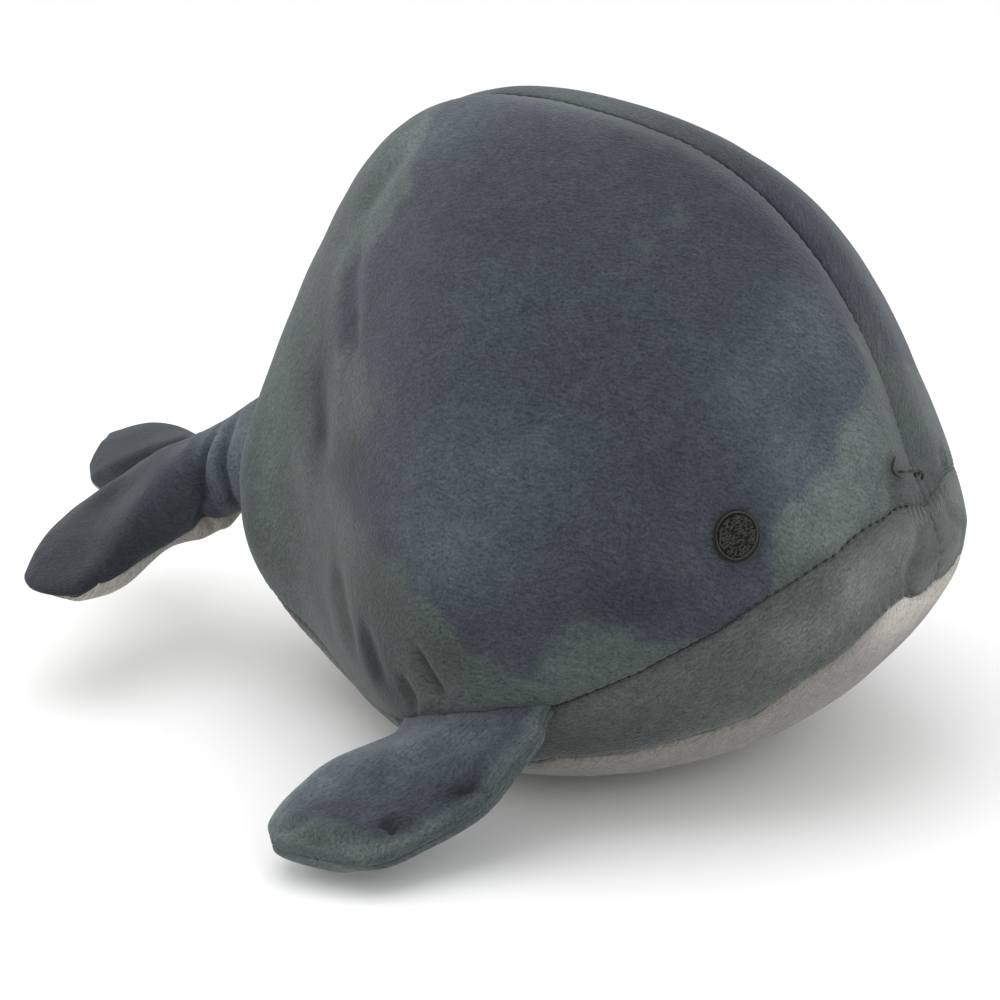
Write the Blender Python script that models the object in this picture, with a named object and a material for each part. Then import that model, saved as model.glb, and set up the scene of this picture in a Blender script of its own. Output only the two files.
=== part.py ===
# Plush whale: a sewn, stuffed toy that rests on its belly.
# Frame: metres, +Z up, nose towards +X, the whale's left side towards +Y.
# The origin is on the floor, in the middle of the flat patch that the belly rests on.
# Each panel of cloth is a thin shell, and the stuffing fills the room inside it.
# The sewn seams are the gaps between the shells.
import math

import bmesh
import bpy
import numpy as np
from mathutils import Matrix, Vector

# Cloth and seams
CLOTH_THICKNESS = 0.0025  # short-pile plush, backing and pile together
SEAM_GAP = 0.0004  # between two panels at a seam
LINING_GAP = 0.0005  # between a panel and the stuffing behind it

# Body
BODY_LENGTH = 0.241
NOSE_REACH = 0.120  # nose ahead of the origin
REAR_REACH = BODY_LENGTH - NOSE_REACH  # rear end behind the origin
BODY_WIDTH = 0.229
BODY_CROWN = 0.131  # above the body's own axis, at mid length
BODY_DEPTH = 0.079  # below the axis, at mid length
NOSE_DROP = 0.004  # fall of the axis from the nose to the tail root
REST_CUT = 0.0005  # the belly is pressed flat this deep
REST_HALF_LENGTH = 0.045  # and all of it within this oval about the origin, with a soft border
REST_HALF_WIDTH = 0.035
REST_FLAT_SHARE = 0.6
NOSE_POWER = 0.89  # below 1 is blunter than an ellipse
REAR_POWER = 0.70
UPPER_POWER = 1.8  # 2 is an ellipse, more is squarer
LOWER_POWER = 2.75
KNOT_SHARES = (0.0, 0.25, 0.5, 0.75, 1.0)  # of the way from the nose to the tail
WIDTH_SHARES = (1.02, 0.82, 1.0, 0.63, 1.22)
CROWN_SHARES = (0.05, 0.84, 1.0, 1.04, 0.29)
DEPTH_SHARES = (0.58, 1.03, 1.0, 1.11, 1.0)

# Centre seam over the back and down the face, drawn in between the two puffed sides
VALLEY_DEPTH = 0.004
VALLEY_WIDTH = 0.012
VALLEY_FOOT = 0.045  # the valley fades out below this height
VALLEY_FULL = 0.070
VALLEY_FADE = 0.030  # and over this length towards the tail
VALLEY_REAR_MARGIN = 0.036
VALLEY_REAR = REAR_REACH - VALLEY_REAR_MARGIN  # starting this far behind the origin

# Panel outlines, as degrees above the level of the axis at shares of the length
MOUTH_START_SHARE = 0.085
CHIN_START_SHARE = 0.04
LAST_STATION_SHARE = 0.93
MOUTH_SEAM_SHARES = (0.085, 0.095, 0.12, 0.16, 0.20, 0.27, 0.33, 0.40, 0.50, 0.70, 1.0)
MOUTH_SEAM_DEG = (84.0, 60.0, 31.0, 13.0, 4.5, -7.5, -13.5, -18.0, -21.0, -23.0, -24.0)
BELLY_SEAM_SHARES = (0.04, 0.06, 0.08, 0.10, 0.156, 0.20, 0.25, 0.35, 0.45, 0.70, 1.0)
BELLY_SEAM_DEG = (-86.0, -50.0, -30.0, -23.0, -27.0, -32.0, -36.0, -35.0, -33.0, -33.0, -40.0)
NOSE_STATION_SHARES = (0.002, 0.018, 0.04, 0.06, 0.085, 0.10, 0.125, 0.16)
REAR_STATIONS = 12
SIDE_CELLS = 8
JAW_CELLS = 5
BELLY_COLUMN_SHARES = (0.10, 0.28, 0.48, 0.72, 1.0)  # from the keel, which no edge follows, to the seam

# Tail root: a ball of stuffing in a cuff of cloth, let into the back of the body
TAIL_ROOT_INSET = 0.002  # centre of the ball ahead of the body's rear end
TAIL_ROOT_BACK = REAR_REACH - TAIL_ROOT_INSET
CUFF_RADIUS = 0.0223
SWING_CLEARANCE = 0.0008
CUFF_FRONT = 0.0176  # the cuff starts this far ahead of the ball's centre
CUFF_REACH = 0.005  # and ends this far behind it
WAD_REACH = 0.003
STEM_SETBACK = 0.008  # centre of the stem's round root behind the ball's centre
STEM_ROOT_RADIUS = 0.0182
STEM_ROOT_FRONT = 0.012
ROOT_SIDES = 18
ROOT_STEPS = 6

# Tail and flukes, measured along the tail from the centre of the stem's round root
TAIL_YAW = math.radians(20.5)  # towards the whale's right
TAIL_DROOP = math.radians(24)  # of the stem
TAIL_CURL = math.radians(23)  # upward, from the stem to the trailing edge
TAIL_ROLL = math.radians(8)  # of the flukes, left one up
TAIL_LENGTH = 0.0855
FLUKE_HALF_SPAN = 0.0667
STEM_HALF_WIDTH = 0.0149
STEM_HALF_HEIGHT = 0.0155
FLUKE_HALF_HEIGHT = 0.0099
FLUKE_NOTCH = 0.005
NOTCH_WIDTH = 0.018
FLUKE_CORNER = 0.005  # rounding of the tips
EDGE_HALF_HEIGHT = 0.0012  # of cloth left at a sewn edge
STEM_WAIST_SHARE = 0.30  # of the tail's length, where the stem is narrowest
FLUKE_WIDE_SHARE = 0.74
CORNER_SHARE = 0.82
TAIL_STATIONS = 12
TAIL_CELLS = 10

# Flippers, measured from the middle of the sewn root line
FLIPPER_LENGTH = 0.049  # square to the root line
FLIPPER_HALF_CHORD = 0.0281
FLIPPER_HALF_HEIGHT = 0.0088
FLIPPER_ROOT_HALF_HEIGHT = 0.0024
FLIPPER_SWEEP = 0.0263  # of the tip behind the middle of the root
FLIPPER_HANG = 0.0054  # of the middle of the blade below its slope
FLIPPER_TWIST = math.radians(18)  # front edge down
FLIPPER_ROOT_BOW = 0.003  # the root's ends reach in round the body by this much
FLIPPER_PLACE_SHARE = 0.4715  # of the body's length, from the nose
FLIPPER_FALL = math.radians(20.3)  # of the root below the level of the body's axis
FLIPPER_RAKE = math.radians(15)  # front end of the root line up
FLIPPER_SLOPE = math.radians(24)  # blade down from the level
FLIPPER_TOE = math.radians(1)  # rear end of the root line out
ROOT_CLEARANCE = 0.0006
FLIPPER_TIP_POWER = 0.41
FLIPPER_SWEEP_POWER = 1.4
FLIPPER_LAST_SHARE = 0.95
FLIPPER_STATIONS = 9
FLIPPER_CELLS = 7
PILLOW_POWER = 0.65  # below 1 is fuller towards the sewn edge

# Embroidered eyes
EYE_WIDTH = 0.0150
EYE_HEIGHT = 0.0165
EYE_THICKNESS = 0.0012
EYE_SEAT_GAP = 0.0003
EYE_SHARE = 0.262  # of the length, from the nose
EYE_RISE = math.radians(14.5)  # above the level of the axis
EYE_CELLS = 5

# Knotted end of black sewing thread beside the centre seam, above the mouth
THREAD_RADIUS = 0.0005
THREAD_LIFT = 0.0009
THREAD_ALONG_SHARES = (0.137, 0.133, 0.126, 0.120, 0.112)
THREAD_RISE_DEG = (64.0, 60.0, 66.0, 75.0, 82.0)
THREAD_STEPS = 3


for old in list(bpy.data.objects):
    bpy.data.objects.remove(old, do_unlink=True)


# Materials

def cloth(name, colour, roughness):
    material = bpy.data.materials.new(name)
    material.use_nodes = True
    shader = material.node_tree.nodes["Principled BSDF"]
    shader.inputs["Base Color"].default_value = (*colour, 1.0)
    shader.inputs["Roughness"].default_value = roughness
    shader.inputs["Metallic"].default_value = 0.0
    return material


SLATE_PLUSH = cloth("slate_plush", (0.058, 0.070, 0.080), 0.95)
JAW_PLUSH = cloth("jaw_plush", (0.075, 0.088, 0.088), 0.95)
PALE_PLUSH = cloth("pale_plush", (0.34, 0.33, 0.29), 0.95)
STUFFING = cloth("stuffing", (0.75, 0.75, 0.72), 1.0)
EYE_THREAD = cloth("eye_thread", (0.028, 0.027, 0.020), 0.55)
BLACK_THREAD = cloth("black_thread", (0.012, 0.012, 0.012), 0.6)


# Meshes

def add_mesh(name, points, faces, material, parent=None):
    """One closed, smooth-shaded object from points and faces. Points that coincide become one."""
    mesh = bpy.data.meshes.new(name)
    mesh.from_pydata([tuple(p) for p in points], [], faces)
    shape = bmesh.new()
    shape.from_mesh(mesh)
    bmesh.ops.remove_doubles(shape, verts=shape.verts, dist=SEAM_GAP / 10)
    bmesh.ops.recalc_face_normals(shape, faces=shape.faces)
    if shape.calc_volume(signed=True) < 0:
        bmesh.ops.reverse_faces(shape, faces=shape.faces)
    shape.to_mesh(mesh)
    shape.free()
    mesh.shade_smooth()
    mesh.set_sharp_from_angle(angle=math.radians(50))
    mesh.materials.append(material)
    made = bpy.data.objects.new(name, mesh)
    bpy.context.scene.collection.objects.link(made)
    if parent is not None:
        made.parent = parent
    return made


def grid_faces(rows, columns, first=0, wrap=False, mirrored_from=None):
    """Triangles over a grid of points. Cells from one column on can be cut along the other diagonal."""
    faces = []
    for i in range(rows - 1):
        for j in range(columns if wrap else columns - 1):
            k = (j + 1) % columns
            here = first + i * columns
            after = here + columns
            if mirrored_from is not None and j >= mirrored_from:
                faces.append((here + j, here + k, after + j))
                faces.append((here + k, after + k, after + j))
            else:
                faces.append((here + j, here + k, after + k))
                faces.append((here + j, after + k, after + j))
    return faces


def shell_faces(rows, columns, mirrored_from=None):
    """Faces of a thin sheet: an outer grid, an inner grid after it, and a rim round both."""
    inner = rows * columns
    faces = grid_faces(rows, columns, mirrored_from=mirrored_from)
    faces += grid_faces(rows, columns, inner, mirrored_from=mirrored_from)
    rim = [j for j in range(columns)]
    rim += [i * columns + columns - 1 for i in range(1, rows)]
    rim += [(rows - 1) * columns + j for j in range(columns - 2, -1, -1)]
    rim += [i * columns for i in range(rows - 2, 0, -1)]
    for here, after in zip(rim, rim[1:] + rim[:1]):
        faces.append((here, inner + here, inner + after, after))
    return faces


def add_shell(name, outer, inner, material, parent=None, mirrored_from=None):
    rows, columns = outer.shape[:2]
    points = np.concatenate([outer.reshape(-1, 3), inner.reshape(-1, 3)])
    return add_mesh(name, points, shell_faces(rows, columns, mirrored_from), material, parent)


def empty_at(name, place, turn=None):
    pivot = bpy.data.objects.new(name, None)
    pivot.location = place
    if turn is not None:
        pivot.rotation_euler = turn
    bpy.context.scene.collection.objects.link(pivot)
    return pivot


# Body surface

def through_knots(shares, u):
    """Natural cubic curve through the shares at the evenly spaced knots."""
    count = len(KNOT_SHARES)
    step = KNOT_SHARES[1] - KNOT_SHARES[0]
    system = np.eye(count)
    bend = np.zeros(count)
    for k in range(1, count - 1):
        system[k, k - 1:k + 2] = (1, 4, 1)
        bend[k] = 6 * (shares[k - 1] - 2 * shares[k] + shares[k + 1]) / step ** 2
    second = np.linalg.solve(system, bend)
    k = np.clip((np.asarray(u) / step).astype(int), 0, count - 2)
    left = np.asarray(u) / step - k
    right = 1 - left
    value = right * np.take(shares, k) + left * np.take(shares, k + 1)
    pull = (right ** 3 - right) * second[k] + (left ** 3 - left) * second[k + 1]
    return value + pull * step ** 2 / 6


def body_section(u):
    """Along, axis height, half width, crown and depth of the section at share u of the length."""
    u = np.asarray(u, float)
    swell = np.clip(np.sin(np.pi * u), 1e-9, 1)
    swell = np.where(u < 0.5, swell ** NOSE_POWER, swell ** REAR_POWER)
    run = (1 - np.cos(np.pi * u)) / 2
    along = NOSE_REACH - BODY_LENGTH * run
    axis = -NOSE_DROP * run
    half_width = BODY_WIDTH / 2 * swell * through_knots(WIDTH_SHARES, u)
    crown = BODY_CROWN * swell * through_knots(CROWN_SHARES, u)
    depth = BODY_DEPTH * swell * through_knots(DEPTH_SHARES, u)
    return along, axis, half_width, crown, depth


AXIS_HEIGHT = float(max(s[4] - s[1] for s in map(body_section, np.linspace(0, 1, 201)))) - REST_CUT


def smooth_surface(u, rise, side):
    """The body before it is drawn in at the centre seam. rise is the angle above the axis."""
    along, axis, half_width, crown, depth = body_section(u)
    upper = np.sin(rise) >= 0
    height = np.where(upper, crown, depth)
    power = np.where(upper, UPPER_POWER, LOWER_POWER)
    across = (np.abs(np.cos(rise)) / half_width) ** power
    reach = (across + (np.abs(np.sin(rise)) / height) ** power) ** (-1 / power)
    parts = (along + 0 * reach, side * reach * np.cos(rise), axis + AXIS_HEIGHT + reach * np.sin(rise))
    return np.stack(np.broadcast_arrays(*parts), -1)


def smooth_step(value, start, end):
    share = np.clip((value - start) / (end - start), 0, 1)
    return share * share * (3 - 2 * share)


def outward(u, rise, side):
    small = 1e-4
    first = np.clip(u - small, small, 1 - small)
    last = np.clip(u + small, small, 1 - small)
    along = smooth_surface(last, rise, side) - smooth_surface(first, rise, side)
    around = smooth_surface(u, rise + small, side) - smooth_surface(u, rise - small, side)
    normal = np.cross(around, along) * -side
    return normal / np.linalg.norm(normal, axis=-1, keepdims=True)


def body_surface(u, rise, side, inset=0.0):
    """Points on the body, or inset behind its surface, pressed flat where it rests."""
    u, rise = np.broadcast_arrays(np.asarray(u, float), np.asarray(rise, float))
    place = smooth_surface(u, rise, side)
    facing = outward(u, rise, side)
    seam = np.exp(-(place[..., 1] / VALLEY_WIDTH) ** 2)
    seam = seam * smooth_step(place[..., 2], VALLEY_FOOT, VALLEY_FULL)
    seam = seam * smooth_step(place[..., 0], -VALLEY_REAR - VALLEY_FADE, -VALLEY_REAR)
    place = place - facing * (VALLEY_DEPTH * seam + inset)[..., None]
    oval = np.hypot(place[..., 0] / REST_HALF_LENGTH, place[..., 1] / REST_HALF_WIDTH)
    below = place[..., 2] < AXIS_HEIGHT
    loose = np.where(below, smooth_step(oval, REST_FLAT_SHARE, 1), 1)
    place[..., 2] = inset + np.maximum(place[..., 2] - inset, 0) * loose
    return place


# Panels and stuffing of the body

TAIL_ROOT = Vector((-TAIL_ROOT_BACK, 0, AXIS_HEIGHT - NOSE_DROP))
SOCKET_RADIUS = CUFF_RADIUS + SWING_CLEARANCE
STATIONS = np.array(NOSE_STATION_SHARES + tuple(
    NOSE_STATION_SHARES[-1] + (LAST_STATION_SHARE - NOSE_STATION_SHARES[-1]) * (k + 1) / REAR_STATIONS
    for k in range(REAR_STATIONS)))
MOUTH_STATION = NOSE_STATION_SHARES.index(MOUTH_START_SHARE)
CHIN_STATION = NOSE_STATION_SHARES.index(CHIN_START_SHARE)
QUARTER_TURN = math.pi / 2
SIDE_SHARES = np.linspace(0, 1, SIDE_CELLS + 1)
JAW_SHARES = np.linspace(0, 1, JAW_CELLS + 1)
BELLY_SHARES = np.array(BELLY_COLUMN_SHARES)


def mouth_rise(u):
    rise = np.radians(np.interp(u, MOUTH_SEAM_SHARES, MOUTH_SEAM_DEG))
    return np.where(u < MOUTH_START_SHARE, QUARTER_TURN, rise)


def belly_rise(u):
    rise = np.radians(np.interp(u, BELLY_SEAM_SHARES, BELLY_SEAM_DEG))
    return np.where(u < CHIN_START_SHARE, -QUARTER_TURN, rise)


def seam_share(u, rise, side):
    """Angle that takes up half a seam's gap at this place."""
    place = smooth_surface(u, rise, side)
    axis = body_section(u)[1] + AXIS_HEIGHT
    reach = np.hypot(place[..., 1], place[..., 2] - axis)
    return SEAM_GAP / 2 / reach


def panel_grid(stations, low, high, shares, side, inset, trim_low=True, trim_high=True):
    """Grid of a panel between two seams, with its closing rows round the tail's root."""
    rows = []
    for u, start, end in zip(stations, low, high):
        rise = start + (end - start) * shares
        rise[0] += seam_share(u, start, side) * trim_low
        rise[-1] -= seam_share(u, end, side) * trim_high
        rows.append(body_surface(u, rise, side, inset))
    ring = np.stack([
        np.full(len(shares), TAIL_ROOT.x + inset),
        side * SOCKET_RADIUS * np.cos(rise),
        TAIL_ROOT.z + SOCKET_RADIUS * np.sin(rise)], -1)
    rows.append((rows[-1] + ring) / 2)
    rows.append(ring)
    return np.array(rows)


def add_body_panels(side, word):
    mouth = mouth_rise(STATIONS)
    belly = belly_rise(STATIONS)
    top = np.full(len(STATIONS), QUARTER_TURN)
    span = slice(MOUTH_STATION, None)
    insets = (0.0, CLOTH_THICKNESS)
    grids = [panel_grid(STATIONS[span], mouth[span], top[span], SIDE_SHARES, side, i) for i in insets]
    add_shell("side_panel_" + word, *[grid[:, ::-1] for grid in grids], SLATE_PLUSH)
    grids = [panel_grid(STATIONS, belly, mouth, JAW_SHARES, side, i) for i in insets]
    add_shell("jaw_panel_" + word, *[grid[:, ::-1] for grid in grids], JAW_PLUSH)


def add_belly_panel():
    span = slice(CHIN_STATION, None)
    belly = belly_rise(STATIONS)[span]
    keel = np.full(len(belly), -QUARTER_TURN)
    grids = []
    for inset in (0.0, CLOTH_THICKNESS):
        left = panel_grid(STATIONS[span], keel, belly, BELLY_SHARES, 1, inset, trim_low=False)
        right = panel_grid(STATIONS[span], keel, belly, BELLY_SHARES, -1, inset, trim_low=False)
        grids.append(np.concatenate([right[:, ::-1], left], axis=1))
    add_shell("belly_panel", *grids, PALE_PLUSH, mirrored_from=len(BELLY_SHARES))


def capped_faces(rows, columns, front_point, back_point, mirrored_from):
    faces = grid_faces(rows, columns, wrap=True, mirrored_from=mirrored_from)
    for j in range(columns):
        k = (j + 1) % columns
        faces.append((front_point, k, j))
        faces.append((back_point, (rows - 1) * columns + j, (rows - 1) * columns + k))
    return faces


def add_body_filling():
    """One mass of stuffing behind all five panels, hollowed at the back for the tail's root."""
    inset = CLOTH_THICKNESS + LINING_GAP
    halves = []
    for side in (-1, 1):
        mouth = mouth_rise(STATIONS)
        belly = belly_rise(STATIONS)
        keel = np.full(len(STATIONS), -QUARTER_TURN)
        top = np.full(len(STATIONS), QUARTER_TURN)
        low = panel_grid(STATIONS, keel, belly, BELLY_SHARES, side, inset, False, False)
        middle = panel_grid(STATIONS, belly, mouth, JAW_SHARES, side, inset, False, False)
        high = panel_grid(STATIONS, mouth, top, SIDE_SHARES, side, inset, False, False)
        halves.append(np.concatenate([low, middle[:, 1:], high[:, 1:]], axis=1))
    half_columns = halves[0].shape[1]
    rings = np.concatenate([halves[0][:, ::-1], halves[1][:, :-1]], axis=1)
    lip = rings[-1] - np.array(TAIL_ROOT)
    lip_turn = np.arctan2(lip[:, 2], lip[:, 1])
    start = math.asin(inset / SOCKET_RADIUS)
    dimple = []
    for turn in np.linspace(start, QUARTER_TURN, ROOT_STEPS)[:-1]:
        radius = SOCKET_RADIUS * math.cos(turn)
        ahead = np.full(len(lip), TAIL_ROOT.x + SOCKET_RADIUS * math.sin(turn))
        dimple.append(np.stack([
            ahead, radius * np.cos(lip_turn), TAIL_ROOT.z + radius * np.sin(lip_turn)], -1))
    rings = np.concatenate([rings[:-1], np.array(dimple)])
    rows, columns = rings.shape[:2]
    front = rings[0].mean(axis=0)
    back = np.array([TAIL_ROOT.x + SOCKET_RADIUS, 0, TAIL_ROOT.z])
    points = np.concatenate([rings.reshape(-1, 3), [front, back]])
    faces = capped_faces(rows, columns, rows * columns, rows * columns + 1, half_columns)
    add_mesh("body_filling", points, faces, STUFFING)


# Eyes and thread

def add_eye(side, word):
    """Disc of close stitches that lies on the side panel."""
    steps = np.linspace(-1, 1, EYE_CELLS + 1)
    across, up = np.meshgrid(steps, steps, indexing="ij")
    disc_across = across * np.sqrt(1 - up ** 2 / 2) * EYE_WIDTH / 2
    disc_up = up * np.sqrt(1 - across ** 2 / 2) * EYE_HEIGHT / 2
    small = 1e-3
    middle = smooth_surface(EYE_SHARE, EYE_RISE, side)
    per_share = np.linalg.norm(smooth_surface(EYE_SHARE + small, EYE_RISE, side) - middle) / small
    per_turn = np.linalg.norm(smooth_surface(EYE_SHARE, EYE_RISE + small, side) - middle) / small
    u = EYE_SHARE + disc_across / per_share
    rise = EYE_RISE + disc_up / per_turn
    under = body_surface(u, rise, side, -EYE_SEAT_GAP)
    over = body_surface(u, rise, side, -EYE_SEAT_GAP - EYE_THICKNESS)
    add_shell("eye_" + word, over, under, EYE_THREAD)


def add_nose_thread():
    """Loose end of thread that hangs in a loop and meets its knot at the centre seam."""
    curve = bpy.data.curves.new("nose_thread", "CURVE")
    curve.dimensions = "3D"
    curve.bevel_depth = THREAD_RADIUS
    curve.bevel_resolution = 1
    curve.resolution_u = THREAD_STEPS
    curve.use_fill_caps = True
    spline = curve.splines.new("BEZIER")
    spline.bezier_points.add(len(THREAD_RISE_DEG) - 1)
    route = body_surface(THREAD_ALONG_SHARES, np.radians(THREAD_RISE_DEG), -1, -THREAD_LIFT)
    for point, place in zip(spline.bezier_points, route):
        point.co = place
        point.handle_left_type = "AUTO"
        point.handle_right_type = "AUTO"
    curve.materials.append(BLACK_THREAD)
    bpy.context.scene.collection.objects.link(bpy.data.objects.new("nose_thread", curve))


# Tail root, turned about the stem's own direction

STEM_TURN = Matrix.Rotation(TAIL_YAW, 4, "Z") @ Matrix.Rotation(-TAIL_DROOP, 4, "Y")
STEM_AXIS = STEM_TURN @ Vector((-1, 0, 0))


def turned(name, profile, material, pivot):
    """Solid of revolution about local +Z from a closed profile of (along, radius)."""
    points = []
    for along, radius in profile:
        for j in range(ROOT_SIDES):
            turn = 2 * math.pi * j / ROOT_SIDES
            points.append((radius * math.cos(turn), radius * math.sin(turn), along))
    rows = len(profile)
    faces = []
    closed = rows if profile[0][1] > 0 else rows - 1
    for i in range(closed):
        for j in range(ROOT_SIDES):
            k = (j + 1) % ROOT_SIDES
            here = i * ROOT_SIDES
            after = (i + 1) % rows * ROOT_SIDES
            faces.append((here + j, here + k, after + k, after + j))
    return add_mesh(name, points, faces, material, pivot)


def sphere_radius(along, centre, radius):
    return math.sqrt(max(radius ** 2 - (along - centre) ** 2, 0))


def add_tail_root(pivot):
    lining = CUFF_RADIUS - CLOTH_THICKNESS
    wad_radius = lining - LINING_GAP
    dimple = STEM_ROOT_RADIUS + SWING_CLEARANCE
    turns = np.linspace(math.acos(-CUFF_FRONT / CUFF_RADIUS), math.acos(CUFF_REACH / CUFF_RADIUS), ROOT_STEPS)
    outer = [(CUFF_RADIUS * math.cos(t), CUFF_RADIUS * math.sin(t)) for t in turns]
    inner = [(a, max(sphere_radius(a, 0, lining), sphere_radius(a, STEM_SETBACK, dimple))) for a, r in outer]
    turned("tail_cuff", outer + inner[::-1], SLATE_PLUSH, pivot)
    front_turns = np.linspace(math.pi, math.acos(WAD_REACH / wad_radius), ROOT_STEPS + 1)
    front = [(wad_radius * math.cos(t), wad_radius * math.sin(t)) for t in front_turns]
    back_turns = np.linspace(math.acos((WAD_REACH - STEM_SETBACK) / dimple), math.pi, ROOT_STEPS)
    back = [(STEM_SETBACK + dimple * math.cos(t), dimple * math.sin(t)) for t in back_turns]
    front[0] = (front[0][0], 0.0)
    back[-1] = (back[-1][0], 0.0)
    turned("tail_root_wad", front + back, STUFFING, pivot)


# Pillows: two panels sewn together round the edge, with stuffing between them

def pillow(names, middle, normal, half, materials, pivot, core):
    """Upper panel, lower panel and stuffing about a middle surface with this half height."""
    seam = SEAM_GAP / 2
    hollow = np.maximum(half - CLOTH_THICKNESS, 0)
    for name, way, material in ((names[0], 1, materials[0]), (names[1], -1, materials[1])):
        outer = middle + way * normal * (seam + half)[..., None]
        inner = middle + way * normal * (seam + hollow)[..., None]
        add_shell(name, outer, inner, material, pivot)
    rows, columns = core
    stuffing = (seam + np.maximum(hollow - LINING_GAP, 0))[rows, columns, None]
    upper = middle[rows, columns] + normal[rows, columns] * stuffing
    lower = middle[rows, columns] - normal[rows, columns] * stuffing
    add_shell(names[2], upper, lower, materials[2], pivot)


def tail_path(reach):
    """Middle line of the tail in the stem's own frame: place back, place up and slope."""
    steps = np.linspace(-STEM_ROOT_RADIUS, TAIL_LENGTH, 201)
    slope = TAIL_CURL * smooth_step(steps, STEM_ROOT_RADIUS, TAIL_LENGTH)
    step = steps[1] - steps[0]
    back = steps[0] + np.concatenate([[0], np.cumsum(np.cos(slope[1:]) * step)])
    up = np.concatenate([[0], np.cumsum(np.sin(slope[1:]) * step)])
    return np.interp(reach, steps, back), np.interp(reach, steps, up), np.interp(reach, steps, slope)


def tail_half_width(reach, share):
    """Half width of the tail's outline: the round root, the stem and the flukes."""
    waist = STEM_ROOT_RADIUS + (STEM_HALF_WIDTH - STEM_ROOT_RADIUS) * smooth_step(share, 0, STEM_WAIST_SHARE)
    flare = smooth_step(share, STEM_WAIST_SHARE, FLUKE_WIDE_SHARE) ** PILLOW_POWER
    past = np.clip((share - CORNER_SHARE) / (1 - CORNER_SHARE), 0, 1)
    corner = FLUKE_CORNER * (1 - np.sqrt(1 - past ** 2))
    outline = waist + (FLUKE_HALF_SPAN - waist) * flare - corner
    return np.where(reach < 0, ball_radius(reach), outline)


def tail_half_height(reach, share):
    stem = STEM_ROOT_RADIUS + (STEM_HALF_HEIGHT - STEM_ROOT_RADIUS) * smooth_step(share, 0, STEM_WAIST_SHARE)
    full = stem + (FLUKE_HALF_HEIGHT - stem) * smooth_step(share, STEM_WAIST_SHARE, FLUKE_WIDE_SHARE)
    full = full * np.sqrt(np.clip(1 - share ** 4, 0, 1))
    return np.where(reach < 0, ball_radius(reach), full)


def ball_radius(reach):
    return np.sqrt(np.maximum(STEM_ROOT_RADIUS ** 2 - reach ** 2, 0))


def add_tail(pivot):
    spread = np.sin(np.linspace(0, QUARTER_TURN, TAIL_STATIONS))
    turns = np.linspace(-QUARTER_TURN, QUARTER_TURN, TAIL_CELLS + 1)
    stations = -STEM_ROOT_FRONT + (TAIL_LENGTH + STEM_ROOT_FRONT) * spread
    reach, turn = np.meshgrid(stations, turns, indexing="ij")
    share = np.clip(reach / TAIL_LENGTH, 0, 1)
    across = tail_half_width(reach, share) * np.sin(turn)
    notch = FLUKE_NOTCH * np.exp(-(across / NOTCH_WIDTH) ** 2) * share ** 4
    back, up, slope = tail_path(reach - notch)
    round_power = 1 + (PILLOW_POWER - 1) * smooth_step(share, 0, STEM_WAIST_SHARE)
    edge = EDGE_HALF_HEIGHT * smooth_step(share, 0, STEM_WAIST_SHARE)
    full = np.maximum(tail_half_height(reach, share), edge)
    half = edge + (full - edge) * np.clip(np.cos(turn), 0, 1) ** round_power
    roll = TAIL_ROLL * smooth_step(share, 0, FLUKE_WIDE_SHARE)
    middle = np.stack([-back, across * np.cos(roll), up + across * np.sin(roll)], -1)
    normal = np.stack([np.sin(slope), -np.cos(slope) * np.sin(roll), np.cos(slope) * np.cos(roll)], -1)
    names = ("tail_upper_panel", "tail_lower_panel", "tail_filling")
    core = (slice(1, -3), slice(1, -1))
    pillow(names, middle, normal, half, (SLATE_PLUSH, PALE_PLUSH, STUFFING), pivot, core)


# Flippers

def flipper_pivot(side, word):
    """Empty on the sewn root line: local +X forward along it, local +Y to the left, local +Z up."""
    aim = Matrix.Rotation(-side * FLIPPER_TOE, 4, "Z") @ Matrix.Rotation(-FLIPPER_RAKE, 4, "Y")
    aim = aim @ Matrix.Rotation(-side * FLIPPER_SLOPE, 4, "X")
    lift = FLIPPER_ROOT_HALF_HEIGHT + ROOT_CLEARANCE
    place = body_surface(FLIPPER_PLACE_SHARE, -FLIPPER_FALL, side, -lift)
    return empty_at("flipper_%s_root" % word, Vector(place), aim.to_euler())


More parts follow.
